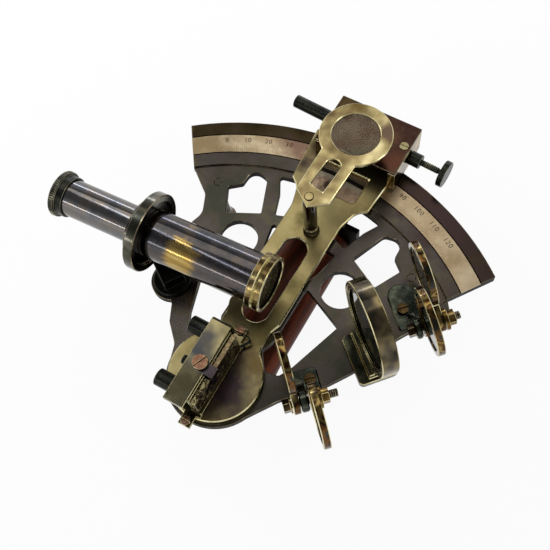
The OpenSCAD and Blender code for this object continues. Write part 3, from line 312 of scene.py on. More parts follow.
# Filed edge: bare brass worn bright on the edge and lightened further as a painted highlight, the lightest
# lines on the piece.
edge_wear_and_painted_highlight = old_metal("filed_edge_with_painted_highlight", ["#9a8c5c", "#c4b887", "#e6dcb4"], patch=8.0,
                        gloss=(0.2, 0.3))
# Mirror's case: polished enough to mirror the arm, with a blue-grey bloom in the middle.
case_brass = old_metal(
    "mirror_case_brass",
    ["#5c563c", "#777054", "#948c6a"],
    patch=14.0,
    gloss=(0.12, 0.16),
    spots=0.04,
    detail=2.0,
    stains=[(-4.5, 0.0, 53.0, 11.0, "#3d3e42"), (-5.0, 8.0, 53.0, 7.0, "#464544")],
)
# Brushed brass: the brightest broad face, with soft light running over it.
loupe_brass = old_metal(
    "brushed_magnifier_brass",
    ["#5d5036", "#7c6e4e", "#9c8f66", "#c8bc92"],
    patch=12.0,
    gloss=(0.16, 0.22),
    brushed=(1, 0.1, 1),
    spots=0.08,
    detail=2.0,
    stains=[(-6.5, 121.0, 64.0, 10.0, "#66532e"), (14.0, 114.0, 64.0, 8.0, "#5c4c40")],
)
print("polished finishes:", arm_brass.name, edge_wear_and_painted_highlight.name, case_brass.name, loupe_brass.name)

# %% [markdown]
# Turned and sheet pieces, such as feet, cells, hoops and the box's walls, kept more of their brown
# toning. They are glossy, with dark and golden clouds of about a centimetre, which gives each turned
# ring the quick change from black to gold that old lacquer has.

# %% Browned brass finishes
# Browned brass: dark and warm, with a clear highlight along each turned foot and post.
brown_brass = old_metal("browned_brass", ["#2b251b", "#3f3626", "#584c34", "#6b5e42"], patch=14.0,
                        gloss=(0.16, 0.22), spots=0.08, detail=2.0)
# Objective's cell: bands of brown and gold round the ring.
cell_brass = old_metal("objective_cell_brass", ["#3a2f1c", "#6b5a38", "#a08c5c", "#54432a"], patch=8.0,
                       gloss=(0.14, 0.2), spots=0.05, detail=2.0)
# Mirror's hoop: patchy brown with one red-brown stain where the rubbed band begins.
hoop_brass = old_metal(
    "toned_mirror_hoop",
    ["#33302a", "#5a5140", "#7d7050", "#4b4236"],
    patch=11.0,
    gloss=(0.14, 0.2),
    spots=0.05,
    detail=2.0,
    stains=[(50.5, 39.5, 50.0, 6.0, "#4f2620"), (46.5, 52.0, 66.0, 5.0, "#8a7a54")],
)
# Telescope's collar: cold and dark, so that it parts the two tubes.
ring_brass = old_metal("dark_olive_bronze", ["#33342e", "#4a493f", "#68655a"], patch=12.0, gloss=(0.13, 0.2),
                       spots=0.06, detail=2.0)
# Box walls: golden brown, warmer than the cover above them.
box_brass = old_metal("box_wall_brass", ["#33261b", "#7a6136", "#a88c50"], patch=12.0, gloss=(0.16, 0.22),
                      spots=0.06)
# Shade rings: blocks of black, gold and copper-brown, partly the rings' toning and partly painted
# reflection.
shade_toning_and_painted_reflection = old_metal(
    "shade_ring_painted_reflection",
    ["#171312", "#4a2c18", "#8f7a48", "#241d18", "#6b4a28", "#3a3a32"],
    patch=7.0,
    gloss=(0.1, 0.16),
    spots=0.0,
    detail=1.0,
)
# Nuts and screws: small brown spots of light.
nut_brass = old_metal("brown_brass_nut", ["#3d2e18", "#6a5228", "#8a7040"], patch=4.0, gloss=(0.14, 0.22),
                      spots=0.1, detail=2.0)
screw_brass = old_metal("browned_screw_brass", ["#2c2116", "#4a3a24", "#6b5638"], patch=5.0,
                        gloss=(0.2, 0.34))
# Copper-brown screw: the one warm red spot on the mirror's case.
copper_screw = old_metal("copper-brown_screw", ["#5f4436", "#86634f", "#b8957c"], patch=4.0,
                         gloss=(0.14, 0.24))
print("browned finishes:", brown_brass.name, cell_brass.name, hoop_brass.name, box_brass.name)

# %% [markdown]
# The telescope's tube is blackened and highly polished, so it shows long bright streaks. Low
# roughness with scratches stretched along X does that, and the lamps do the rest. Below its middle
# the black has worn through to gold.

# %% Telescope finishes
# Blackened tube: nearly a dark mirror, purple-grey, with the golden belt.
tube_metal = old_metal(
    "blackened_polished_tube",
    ["#3b3b3d", "#4a494b", "#5a534f", "#48474e"],
    patch=11.0,
    gloss=(0.08, 0.17),
    brushed=(0.05, 1, 1),
    spots=0.1,
    worn={
        "across": (0.9976, 0.0698, 0.0),
        "middle": -26.6,
        "half": 11.0,
        "top": 34.2,
        "tones": ["#5a4522", "#a08448", "#d9c488"],
    },
)
# Draw tube: the same polish with less blacking, so it is a step lighter.
draw_metal = old_metal("polished_draw_tube", ["#5a5a5b", "#6d6c6d", "#766f68", "#69686c"], patch=9.0,
                       gloss=(0.08, 0.15), brushed=(0.05, 1, 1), spots=0.06)
print("telescope finishes:", tube_metal.name, draw_metal.name)

# %% [markdown]
# Knobs, barrels and brackets are blackened steel. Blacking gives a dull, slightly green black that
# goes grey on every edge. The cover of the box is lacquered brown instead, and the clip, the lugs
# and the threads each show a different stage of wear.

# %% Black, grey and lacquered finishes
# Blackened steel: dull black with a hint of green, and its edges worn to grey.
black_metal = old_metal("blackened_steel", ["#1c1d1a", "#272823", "#35352e"], patch=9.0, gloss=(0.25, 0.42),
                        spots=0.12)
black_edge = old_metal("edge_worn_to_grey", ["#3a3a33", "#625f50", "#969079"], patch=6.0, gloss=(0.22, 0.36))
# Cover: a red-brown glossy lacquer with two lighter spots.
cover_metal = old_metal(
    "brown_cover_lacquer",
    ["#281a17", "#3a2823", "#4b372a"],
    patch=16.0,
    gloss=(0.16, 0.22),
    spots=0.06,
    stains=[(20.0, 112.0, 47.0, 8.0, "#4c2e24"), (-12.0, 128.0, 47.0, 8.0, "#5d4c32")],
)
# Clip: heated steel with a purple bloom.
clip_metal = old_metal("purple-grey_clip", ["#3a3438", "#4c454a", "#5a5150"], patch=5.0, gloss=(0.2, 0.3))
# Bracket feet and lugs: grey-green, and shiny enough to lift them off the frame.
pad_metal = old_metal("grey-green_bracket_foot", ["#24261f", "#363830", "#4a4a3c", "#5c5238"], patch=8.0,
                      gloss=(0.14, 0.22), spots=0.05, detail=2.0)
lug_metal = old_metal("grey-green_lug", ["#242620", "#363a32", "#555b4e"], patch=6.0, gloss=(0.14, 0.22),
                      spots=0.05, detail=2.0)
# Hinge screws: brown-black shanks, and crests worn to bare steel.
shank_metal = old_metal("brown-black_screw", ["#17120e", "#2c2218", "#4d3c26"], patch=4.0,
                        gloss=(0.18, 0.26), spots=0.1)
thread_steel = old_metal("worn_screw_thread", ["#4c4a40", "#7d7a68", "#a8a48c"], patch=3.0,
                         gloss=(0.2, 0.3))
# Spring: plain bright steel, protected inside its barrel.
spring_steel = old_metal("bright_spring_steel", ["#7d7d7b", "#a3a3a0", "#c2c2be"], patch=5.0,
                         gloss=(0.2, 0.3))
print("dark finishes:", black_metal.name, cover_metal.name, clip_metal.name, pad_metal.name)

# %% [markdown]
# The scale is a strip of silvered brass, toned to a rosy tan, with a matt face that doesn't dazzle.
# Its figures are punched and blackened, so they are dull and nearly black. The divisions are cut so
# finely that they only darken the strip a little.

# %% Scale strip and its blacking
# Silvered strip: pale and matt, the calmest face on the instrument.
strip_metal = old_metal(
    "silvered_strip",
    ["#a08d6e", "#b09c7e", "#bcaa8c", "#c8b89a"],
    patch=14.0,
    gloss=(0.3, 0.45),
    spots=0.15,
    stains=[
        # painted shade: the strip's left end is darkened
        (-62.0, 90.0, 33.0, 34.0, "#8c7a5c"),
        (-24.0, 107.0, 33.0, 16.0, "#836a5a"),
        # painted light: a brighter spot near the right end
        (88.0, 66.0, 33.0, 6.0, "#bfb290"),
    ],
)
# Vernier: the same silvering, browner where the arm's window shades it.
vernier_metal = old_metal(
    "silvered_vernier",
    ["#6b5a50", "#94806c", "#a8947c"],
    patch=6.0,
    gloss=(0.3, 0.45),
    spots=0.3,
    stains=[(-4.0, 96.0, 35.0, 5.0, "#3c2e28")],
    beyond=(99.1, ["#857d6c", "#a09682"]),
)
# Blacking: dull dark brown that fills the figures, thinner in the fine lines.
mark_metal = old_metal("blacked_engraving", ["#2a2018", "#3c3022"], patch=3.0, gloss=(0.6, 0.8))
faint_metal = old_metal("thin_line_in_the_strip", ["#6a5844", "#7d6a54"], patch=3.0, gloss=(0.5, 0.7))
print("scale finishes:", strip_metal.name, vernier_metal.name, mark_metal.name, faint_metal.name)

# %% [markdown]
# The grip is turned mahogany with a French polish: fine dark pores along the grain under a clear
# coat. The grain runs along Y, so the noise is stretched that way. Growth bands of 3.5 mm give the
# broad figure, and pores drawn 0.5 mm wide, coarser than real ones, give the dashes.


# %% Mahogany
def polished_mahogany():
    """Deep red-brown wood with a soft shine, so that it glows where light falls through the windows."""
    material, tree, shader = blank("polished_mahogany", Roughness=0.45, Specular_IOR_Level=0.12)
    place = add(tree, "ShaderNodeTexCoord").outputs["Object"]
    long_grain = add(tree, "ShaderNodeMapping", Vector=place, Scale=(1, 0.08, 1))
    growth = add(tree, "ShaderNodeTexNoise", Vector=long_grain.outputs[0], Scale=1 / (3.5 * MM), Detail=5.0,
                 Distortion=0.4)
    pores = add(tree, "ShaderNodeTexNoise", Vector=long_grain.outputs[0], Scale=1 / (0.5 * MM), Detail=2.0)
    bands = [(0.25, "#250c04"), (0.75, "#8a3f16"), (0.5, "#56210b")]
    wood = add(tree, "ShaderNodeValToRGB", {"stops": bands}, Fac=growth.outputs["Fac"])
    dark_pores = add(tree, "ShaderNodeMapRange", Value=pores.outputs["Fac"], From_Min=0.35, From_Max=0.5,
                     To_Min=0.55, To_Max=0.0)
    grain = add(tree, "ShaderNodeMix", {"data_type": "RGBA"}, Factor=dark_pores.outputs[0],
                i6=wood.outputs["Color"], i7=linear("#220a05"))
    tree.links.new(grain.outputs[2], shader.inputs["Base Color"])
    pore_dip = add(tree, "ShaderNodeBump", Strength=0.2, Distance=0.05 * MM, Height=pores.outputs["Fac"])
    tree.links.new(pore_dip.outputs[0], shader.inputs["Normal"])
    return material


mahogany = polished_mahogany()
print("wood:", mahogany.name)

# %% [markdown]
# There are three kinds of glass. The filters are deep coloured glass, which only transmission shows
# rightly. The two mirrors are silvered at the back, and their silvering has gone brown and speckled,
# so they are metal with a mask of specks. The clear lenses are looked straight through; a thin veil
# of old polish over nothing at all reads better than refraction in a lens this small.


# %% Glass and mirrors
def filter_glass(title, tint, rough=0.03):
    """Coloured glass with a faint greasy film, so that it is dark but not dead."""
    material, tree, shader = blank(title, Transmission_Weight=1.0, IOR=1.52)
    place = add(tree, "ShaderNodeTexCoord").outputs["Object"]
    smear = add(tree, "ShaderNodeTexNoise", Vector=place, Scale=1 / (3 * MM), Detail=3.0)
    film = add(tree, "ShaderNodeMapRange", Value=smear.outputs["Fac"], To_Min=rough, To_Max=rough * 3)
    tone = add(tree, "ShaderNodeValToRGB", {"stops": [(0.3, tint[0]), (0.7, tint[1])]},
               Fac=smear.outputs["Fac"])
    tree.links.new(tone.outputs["Color"], shader.inputs["Base Color"])
    tree.links.new(film.outputs[0], shader.inputs["Roughness"])
    return material


def aged_silvering(title, clean, spotted, amount):
    """A mirror that still reflects between dull specks. More amount leaves fewer specks."""
    material, tree, shader = blank(title, Metallic=1.0)
    place = add(tree, "ShaderNodeTexCoord").outputs["Object"]
    bloom = add(tree, "ShaderNodeTexNoise", Vector=place, Scale=1 / (5 * MM), Detail=5.0, Roughness=0.7)
    specks = add(tree, "ShaderNodeTexVoronoi", Vector=place, Scale=1 / (0.8 * MM))
    speckled = add(tree, "ShaderNodeMath", {"operation": "MULTIPLY_ADD"}, i0=specks.outputs["Distance"],
                   i1=0.35, i2=bloom.outputs["Fac"])
    mask = add(tree, "ShaderNodeMapRange", Value=speckled.outputs[0], From_Min=amount,
               From_Max=amount + 0.12)
    tone = add(tree, "ShaderNodeMix", {"data_type": "RGBA"}, Factor=mask.outputs[0], i6=linear(clean),
               i7=linear(spotted))
    tree.links.new(tone.outputs[2], shader.inputs["Base Color"])
    dull = add(tree, "ShaderNodeMapRange", Value=mask.outputs[0], To_Min=0.05, To_Max=0.5)
    tree.links.new(dull.outputs[0], shader.inputs["Roughness"])
    return material


def clear_lens(title, veil):
    """A lens that is looked straight through: only a thin veil covers what lies behind."""
    material, tree, shader = blank(title, IOR=1.52, Roughness=0.03)
    place = add(tree, "ShaderNodeTexCoord").outputs["Object"]
    smear = add(tree, "ShaderNodeTexNoise", Vector=place, Scale=1 / (6 * MM), Detail=2.0)
    tone = add(tree, "ShaderNodeValToRGB", {"stops": [(0.3, veil[0]), (0.7, veil[1])]},
               Fac=smear.outputs["Fac"])
    cover = add(tree, "ShaderNodeMapRange", Value=smear.outputs["Fac"], From_Min=0.3, From_Max=0.7,
                To_Min=0.16, To_Max=0.28)
    tree.links.new(tone.outputs["Color"], shader.inputs["Base Color"])
    tree.links.new(cover.outputs[0], shader.inputs["Alpha"])
    return material


clear_glass = clear_lens("clear_lens_glass", ("#6b5c40", "#8c8060"))
green_glass = filter_glass("green_filter_glass", ("#1c2c1e", "#24382a"))
smoke_glass = filter_glass("smoked_filter_glass", ("#191b19", "#232622"))
red_glass = filter_glass("red_filter_glass", ("#3a1210", "#4a1a14"))
index_silver = aged_silvering("aged_index_silvering", "#5e503e", "#aa9f72", 0.7)
horizon_silver = aged_silvering("greened_horizon_silvering", "#525b52", "#6d7466", 0.9)
print("glass:", clear_glass.name, green_glass.name, smoke_glass.name, red_glass.name)

# %% [markdown]
# A solid from the frame has knife-sharp edges. On the real piece a file has broken each edge, and
# the narrow chamfer is what catches the light. The copy is merged, its flat faces joined, and every
# edge sharper than a set angle is cut back; the chamfers take a brighter finish, rubbed brass that is
# lightened further as a painted highlight. Cutting the mesh itself was chosen over a Bevel modifier,
# because here it is known which faces are chamfers.

# %% Dressing a solid
SEAM = 0.012 * MM
FLAT = math.radians(1)
HARD = math.radians(32)
CREASE = math.radians(30)


def dress(name, finish, edge, width, other=None, chosen=None):
    """A solid's copy in its finish, with chamfers of width mm in the finish edge. chosen is a test
    of a face: where it holds, the face takes the finish other. On the frame, chamfers are tested too."""
    mesh = nodes[name].data.copy()
    mesh.name = name + "_dressed"
    work = bmesh.new()
    work.from_mesh(mesh)
    bmesh.ops.remove_doubles(work, verts=work.verts, dist=SEAM)
    bmesh.ops.dissolve_limit(work, angle_limit=FLAT, verts=work.verts, edges=work.edges)
    if width:
        hard = [e for e in work.edges if len(e.link_faces) == 2 and e.calc_face_angle() > HARD]
        bmesh.ops.bevel(work, geom=hard, offset=width * MM, offset_type="OFFSET", segments=1, profile=0.5,
                        affect="EDGES", clamp_overlap=False, material=1 if edge else -1)
    bmesh.ops.recalc_face_normals(work, faces=work.faces)
    for face in work.faces:
        face.smooth = True
        if other and chosen(face) and (face.material_index == 0 or name == "frame"):
            face.material_index = 2
    mesh.materials.clear()
    for material in (finish, edge or finish, other or finish):
        mesh.materials.append(material)
    work.to_mesh(mesh)
    work.free()
    if "custom_normal" in mesh.attributes:
        mesh.attributes.remove(mesh.attributes["custom_normal"])
    mesh.set_sharp_from_angle(angle=CREASE)
    piece = put(name + "_dressed", mesh)
    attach(piece, body_of[name])
    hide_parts(name)
    return piece


print("edges sharper than", round(math.degrees(HARD)), "degrees get a chamfer")

# %% [markdown]
# Some pieces are two-toned: the bores of tubes and rings are black, the windows' walls and the
# chamfers of the scale's groove are black as painted shade, and the foot of the mirror's hoop is
# grey-green. Each is one solid, so its faces are told apart by where they lie or which way they look.
# A bore's faces look towards the bore's axis.

# %% Tests that tell a piece's faces apart
STRIP_IN = 104.3
STRIP_OUT = 113.1
GROOVE_EDGE = 0.45
FOOT_TOP = 9.5
RIVET_HEAD = 1.5


def low_down(face):
    """On the mirror's foot."""
    return face.calc_center_median().z < FACE + FOOT_TOP * MM


def at_face(face):
    """The riveted end of a foot, which shows on the frame's face."""
    return face.calc_center_median().z > FACE - RIVET_HEAD * MM


def window_wall(face):
    """The frame's upright faces, and the chamfers in the groove that the scale lies in: they take painted
    shade.
    """
    out = face.calc_center_median().xy.length / MM
    in_groove = abs(out - STRIP_IN) < GROOVE_EDGE or abs(out - STRIP_OUT) < GROOVE_EDGE
    return abs(face.normal.z) < 0.3 or in_groove


def inside(point, axis):
    """A test of faces that look towards an axis through a point: the bore of a tube or a ring."""
    def test(face):
        away = face.calc_center_median() - point
        radial = away - axis * away.dot(axis)
        return radial.dot(face.normal) < -0.5 * radial.length
    return test


sight = Vector(joint_of["eyepiece_slide"]["axis"])
ring_front = Vector((-46.0 * MM, 32.5 * MM, FACE + 24.0 * MM))
bore = inside(ring_front, sight)
mirror = nodes["horizon_glass"].data
hoop_axis = max(mirror.polygons, key=lambda face: face.area).normal.copy()
hoop_middle = sum((v.co for v in mirror.vertices), Vector()) / len(mirror.vertices)
hoop_bore = inside(hoop_middle, hoop_axis)
two_tone = {
    "frame": (black_bore_and_painted_shade, window_wall),
    "main_tube": (black_bore_and_painted_shade, bore),
    "draw_tube": (black_bore_and_painted_shade, bore),
    "objective_cell": (black_bore_and_painted_shade, bore),
    "telescope_ring": (black_bore_and_painted_shade, bore),
    "horizon_retainer": (black_bore_and_painted_shade, hoop_bore),
    "rear_feet": (frame_metal, at_face),
    "horizon_frame": (pad_metal, lambda face: low_down(face) or hoop_bore(face)),
}
print(len(two_tone), "pieces have a second finish")

# %% [markdown]
# A table says what each piece is made of: its finish, the finish of its chamfers and their width in
# mm. A wide chamfer belongs to a piece that was filed by hand, a narrow one to a turned screw. Glass,
# wood and the strip let into the arc have no rubbed edge at all.

# %% Dress every solid in its finish
finishes = [
    (("frame",), frame_metal, rubbed_edge_and_painted_highlight, 0.22),
    (("scale",), strip_metal, None, 0.0),
    (("rear_feet", "pivot_foot"), brown_brass, rubbed_edge_and_painted_highlight, 0.2),
    (("pivot_bush", "pivot_journal"), arm_brass, None, 0.0),
    (("grip",), mahogany, None, 0.0),
    (("grip_rod", "grip_screws", "pivot_screw", "bracket_screws"), screw_brass, None, 0.12),
    (("grip_upper_bracket", "grip_lower_bracket"), black_bore_and_painted_shade, black_metal, 0.2),
    (("telescope_bracket",), black_metal, black_metal, 0.3),
    (("telescope_ring",), ring_brass, rubbed_edge_and_painted_highlight, 0.35),
    (("main_tube",), tube_metal, black_edge, 0.12),
    (("draw_tube",), draw_metal, black_edge, 0.12),
    (("objective_cell",), cell_brass, edge_wear_and_painted_highlight, 0.35),
    (("eyepiece_cap",), black_metal, black_edge, 0.15),
    (("objective_lens", "eyepiece_lens", "magnifier_lens"), clear_glass, None, 0.1),
    (("horizon_frame",), hoop_brass, edge_wear_and_painted_highlight, 0.3),
    (("horizon_retainer",), pad_metal, edge_wear_and_painted_highlight, 0.2),
    (("horizon_glass",), horizon_silver, None, 0.1),
    (("horizon_adjuster",), black_metal, black_edge, 0.12),
    (("shade_brackets",), lug_metal, pad_metal, 0.5),
    (("shade_screws",), shank_metal, edge_wear_and_painted_highlight, 0.1),
    (("shade_nuts",), nut_brass, edge_wear_and_painted_highlight, 0.15),
    (("index_arm",), arm_brass, edge_wear_and_painted_highlight, 0.45),
    (("vernier",), vernier_metal, edge_wear_and_painted_highlight, 0.1),
    (("end_box",), box_brass, edge_wear_and_painted_highlight, 0.16),
    (("cover",), cover_metal, rubbed_edge_and_painted_highlight, 0.25),
    (("cover_screws",), case_brass, edge_wear_and_painted_highlight, 0.1),
    (("spring_barrel", "tangent_boss", "tangent_screw"), black_metal, black_edge, 0.2),
    (("thrust_pad", "plunger", "clamp_shoe"), arm_brass, edge_wear_and_painted_highlight, 0.12),
    (("magnifier_post",), brown_brass, edge_wear_and_painted_highlight, 0.15),
    (("magnifier_arm",), loupe_brass, edge_wear_and_painted_highlight, 0.35),
    (("magnifier_rivet",), loupe_brass, brown_brass, 0.3),
    (("mirror_cradle",), case_brass, edge_wear_and_painted_highlight, 0.12),
    (("mirror_case",), case_brass, edge_wear_and_painted_highlight, 0.14),
    (("mirror_clip",), clip_metal, black_edge, 0.1),
    (("case_screws",), copper_screw, edge_wear_and_painted_highlight, 0.08),
    (("index_mirror",), index_silver, None, 0.12),
    (("adjusters",), black_metal, black_edge, 0.25),
    (("spring",), spring_steel, None, 0.1),
    (("clamp_block", "clamp_screw"), brown_brass, edge_wear_and_painted_highlight, 0.2),
    (("index_shade_a", "index_shade_b"), shade_toning_and_painted_reflection, edge_wear_and_painted_highlight, 0.28),
    (("horizon_shade_a", "horizon_shade_b"), shade_toning_and_painted_reflection, edge_wear_and_painted_highlight, 0.28),
    (("index_glass_a", "horizon_glass_a"), green_glass, None, 0.1),
    (("index_glass_b",), red_glass, None, 0.1),
    (("horizon_glass_b",), smoke_glass, None, 0.1),
]
dressed = {}
for names, finish, edge, width in finishes:
    for name in names:
        dressed[name] = dress(name, finish, edge, width, *two_tone.get(name, (None, None)))
print("dressed", len(dressed), "of", len(nodes), "solids")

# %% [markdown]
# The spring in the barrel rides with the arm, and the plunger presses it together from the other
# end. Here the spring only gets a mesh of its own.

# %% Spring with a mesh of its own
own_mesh(dressed["spring"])

# %% [markdown]
# Pieces that repeat or follow a path are grown by Geometry Nodes. A tree is a recipe with named
# inputs for its sizes. It runs once on a holder, its result is kept as a plain mesh, and the holder
# goes, so that nothing live is left in the scene.

# %% Running a geometry tree
FLOAT = "NodeSocketFloat"
COUNT = "NodeSocketInt"
VECTOR = "NodeSocketVector"
FINISH = "NodeSocketMaterial"
GEOMETRY = "NodeSocketGeometry"


def tree_with(title, sizes):
    """A geometry tree with these named inputs, its input node's outputs, and its output node."""
    tree = bpy.data.node_groups.new(title, "GeometryNodeTree")
    for name, kind in sizes:
        tree.interface.new_socket(name, in_out="INPUT", socket_type=kind)
    tree.interface.new_socket("Geometry", in_out="OUTPUT", socket_type=GEOMETRY)
    return tree, tree.nodes.new("NodeGroupInput").outputs, tree.nodes.new("NodeGroupOutput")


def plain_mesh(holder):
    """What the holder looks like with its modifiers or its text, as a mesh. The holder is removed."""
    shape = bpy.data.meshes.new_from_object(holder.evaluated_get(bpy.context.evaluated_depsgraph_get()))
    bpy.data.objects.remove(holder)
    return shape


def grow(name, tree, values, body, path=((), ())):
    """Runs a geometry tree with these input values and keeps the result as a plain mesh on a body."""
    start = bpy.data.meshes.new(name + "_holder")
    start.from_pydata(path[0], path[1], [])
    holder = put(name + "_holder", start)
    modifier = holder.modifiers.new("grow", "NODES")
    modifier.node_group = tree
    for socket in tree.interface.items_tree:
        if socket.in_out == "INPUT" and socket.name in values:
            modifier[socket.identifier] = values[socket.name]
    shape = plain_mesh(holder)
    shape.name = name
    piece = put(name, shape)
    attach(piece, body)
    print(name, len(shape.polygons), "faces")
    return piece


print("trees take", FLOAT, COUNT, VECTOR, FINISH)

# %% [markdown]
# The arc's divisions are a textbook case for Geometry Nodes: one small bar, instanced on a row of
# points, each turned about the pivot by one more step. Every fifth bar is longer and every tenth
# the longest, which a remainder of the index tells. Real divisions are cut about 0.05 mm wide; here
# they are 0.11 mm, so that they show at all.

# %% Divisions round the pivot
divisions, size, out = tree_with("divisions", [
    ("Count", COUNT), ("Start", FLOAT), ("Step", FLOAT), ("Foot", FLOAT), ("Length", FLOAT),
    ("Width", FLOAT), ("Level", FLOAT), ("Finish", FINISH)])
row = add(divisions, "GeometryNodeMeshLine", {"mode": "OFFSET"}, Count=size["Count"], Offset=(0, 0, 0))
index = add(divisions, "GeometryNodeInputIndex").outputs[0]
angle = add(divisions, "ShaderNodeMath", {"operation": "MULTIPLY_ADD"}, i0=index, i1=size["Step"],
            i2=size["Start"]).outputs[0]
fifth = add(divisions, "ShaderNodeMath", {"operation": "MODULO"}, i0=index, i1=5.0)
tenth = add(divisions, "ShaderNodeMath", {"operation": "MODULO"}, i0=index, i1=10.0)
on_fifth = add(divisions, "ShaderNodeMath", {"operation": "LESS_THAN"}, i0=fifth.outputs[0], i1=0.5)
on_tenth = add(divisions, "ShaderNodeMath", {"operation": "LESS_THAN"}, i0=tenth.outputs[0], i1=0.5)
extra = add(divisions, "ShaderNodeMath", {"operation": "ADD"}, i0=on_fifth.outputs[0],
            i1=on_tenth.outputs[0])
stretch = add(divisions, "ShaderNodeMath", {"operation": "MULTIPLY_ADD"}, i0=extra.outputs[0], i1=0.45,
              i2=1.0)
bar_size = add(divisions, "ShaderNodeCombineXYZ", i0=size["Length"], i1=size["Width"], i2=0.02 * MM)
bar = add(divisions, "GeometryNodeMeshCube", Size=bar_size.outputs[0])
half = add(divisions, "ShaderNodeMath", {"operation": "MULTIPLY"}, i0=size["Length"], i1=0.5)
to_foot = add(divisions, "ShaderNodeCombineXYZ", i0=half.outputs[0])
footed = add(divisions, "GeometryNodeTransform", Geometry=bar.outputs[0], Translation=to_foot.outputs[0])
turn = add(divisions, "ShaderNodeCombineXYZ", i2=angle)
cosine = add(divisions, "ShaderNodeMath", {"operation": "COSINE"}, i0=angle)
sine = add(divisions, "ShaderNodeMath", {"operation": "SINE"}, i0=angle)
foot_x = add(divisions, "ShaderNodeMath", {"operation": "MULTIPLY"}, i0=cosine.outputs[0], i1=size["Foot"])
foot_y = add(divisions, "ShaderNodeMath", {"operation": "MULTIPLY"}, i0=sine.outputs[0], i1=size["Foot"])
foot = add(divisions, "ShaderNodeCombineXYZ", i0=foot_x.outputs[0], i1=foot_y.outputs[0], i2=size["Level"])
placed = add(divisions, "GeometryNodeSetPosition", Geometry=row.outputs[0], Position=foot.outputs[0])
bar_scale = add(divisions, "ShaderNodeCombineXYZ", i0=stretch.outputs[0], i1=1.0, i2=1.0)
bars = add(divisions, "GeometryNodeInstanceOnPoints", Points=placed.outputs[0], Instance=footed.outputs[0],
           Rotation=turn.outputs[0], Scale=bar_scale.outputs[0])
real = add(divisions, "GeometryNodeRealizeInstances", Geometry=bars.outputs[0])
finished = add(divisions, "GeometryNodeSetMaterial", Geometry=real.outputs[0], Material=size["Finish"])
divisions.links.new(finished.outputs[0], out.inputs[0])

ZERO = math.radians(120.1)
DEGREE = math.radians(-0.4925)
MARK_LEVEL = FACE + 0.005 * MM
grow("arc_divisions", divisions, {
    "Count": 131, "Start": ZERO - 5 * DEGREE, "Step": DEGREE, "Foot": STRIP_IN * MM + 0.3 * MM,
    "Length": 1.7 * MM, "Width": 0.11 * MM, "Level": MARK_LEVEL, "Finish": faint_metal},
    "frame")

# %% [markdown]
# The figures are punched into the strip one by one, upright to someone who looks along the arm. A
# text curve gives each figure's outline; it is made a mesh, turned and set on the strip's middle
# circle. A figure is only 0.02 mm thick, like the blacking that fills the real one.

# %% Figures along the scale
STRIP_MIDDLE = 110.5 * MM
FIGURE_HEIGHT = 3.1 * MM


def figure(text, height, place, turn, level, finish):
    """The mesh of a flat figure that stands on the circle at place, with its top outwards."""
    curve = bpy.data.curves.new("figure_" + text, "FONT")
    curve.body = text
    curve.size = height
    curve.align_x = "CENTER"
    curve.align_y = "CENTER"
    curve.extrude = 0.01 * MM
    curve.space_character = 1.15
    shape = plain_mesh(put("figure_" + text, curve))
    shape.transform(Matrix.Translation((place[0], place[1], level)) @ Matrix.Rotation(turn, 4, "Z"))
    shape.materials.clear()
    shape.materials.append(finish)
    return shape


def joined(name, meshes, body):
    """One piece from several meshes that share their materials."""
    work = bmesh.new()
    for mesh in meshes:
        work.from_mesh(mesh)
    whole = bpy.data.meshes.new(name)
    work.to_mesh(whole)
    work.free()
    for material in meshes[0].materials:
        whole.materials.append(material)
    piece = put(name, whole)
    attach(piece, body)
    return piece


figures = []
for value in range(0, 121, 10):
    at = ZERO + value * DEGREE
    spot = (STRIP_MIDDLE * math.cos(at), STRIP_MIDDLE * math.sin(at))
    figures.append(figure(str(value), FIGURE_HEIGHT, spot, at - math.pi / 2, MARK_LEVEL, mark_metal))
joined("arc_figures", figures, "frame")
print(len(figures), "figures from 0 to 120")

# %% [markdown]
# Screws that show their thread get one. A real thread is a ridge that winds round the shank, so a
# helix is swept with a small round section and laid on the plain shank of the solid. The helix
# stands at the screw's own joint, so it follows whatever size the frame gives.

# %% Threads
threads, size, out = tree_with("threads", [
    ("Turns", FLOAT), ("Radius", FLOAT), ("Length", FLOAT), ("Ridge", FLOAT), ("Place", VECTOR),
    ("Turn", VECTOR), ("Finish", FINISH)])
helix = add(threads, "GeometryNodeCurveSpiral", Resolution=16, Rotations=size["Turns"],
            Start_Radius=size["Radius"], End_Radius=size["Radius"], Height=size["Length"])
ridge = add(threads, "GeometryNodeCurvePrimitiveCircle", Resolution=5, Radius=size["Ridge"])
wound = add(threads, "GeometryNodeCurveToMesh", Curve=helix.outputs[0], Profile_Curve=ridge.outputs[0],
            Fill_Caps=True)
laid = add(threads, "GeometryNodeTransform", Geometry=wound.outputs[0], Translation=size["Place"],
           Rotation=size["Turn"])
real = add(threads, "GeometryNodeRealizeInstances", Geometry=laid.outputs[0])
finished = add(threads, "GeometryNodeSetMaterial", Geometry=real.outputs[0], Material=size["Finish"])
threads.links.new(finished.outputs[0], out.inputs[0])


def thread(name, joint, start, length, radius, pitch, finish, body):
    """A thread round a joint's axis, from start to start + length along it, in mm."""
    axis = Vector(joint_of[joint]["axis"])
    place = Vector(joint_of[joint]["pos_m"]) + axis * start * MM
    turn = axis.to_track_quat("Z", "Y").to_euler()
    return grow(name, threads, {
        "Turns": length / pitch, "Radius": radius * MM, "Length": length * MM, "Ridge": 0.26 * MM,
        "Place": place, "Turn": turn, "Finish": finish}, body)


thread("index_screw_thread", "index_a_swing", 16.4, 3.2, 1.4, 0.85, thread_steel, "frame")
thread("horizon_screw_thread", "horizon_a_swing", 17.4, 1.9, 1.4, 0.85, thread_steel, "frame")
thread("tangent_screw_thread", "screw_spin", 29.8, 6.8, 1.2, 0.8, black_edge, "screw")

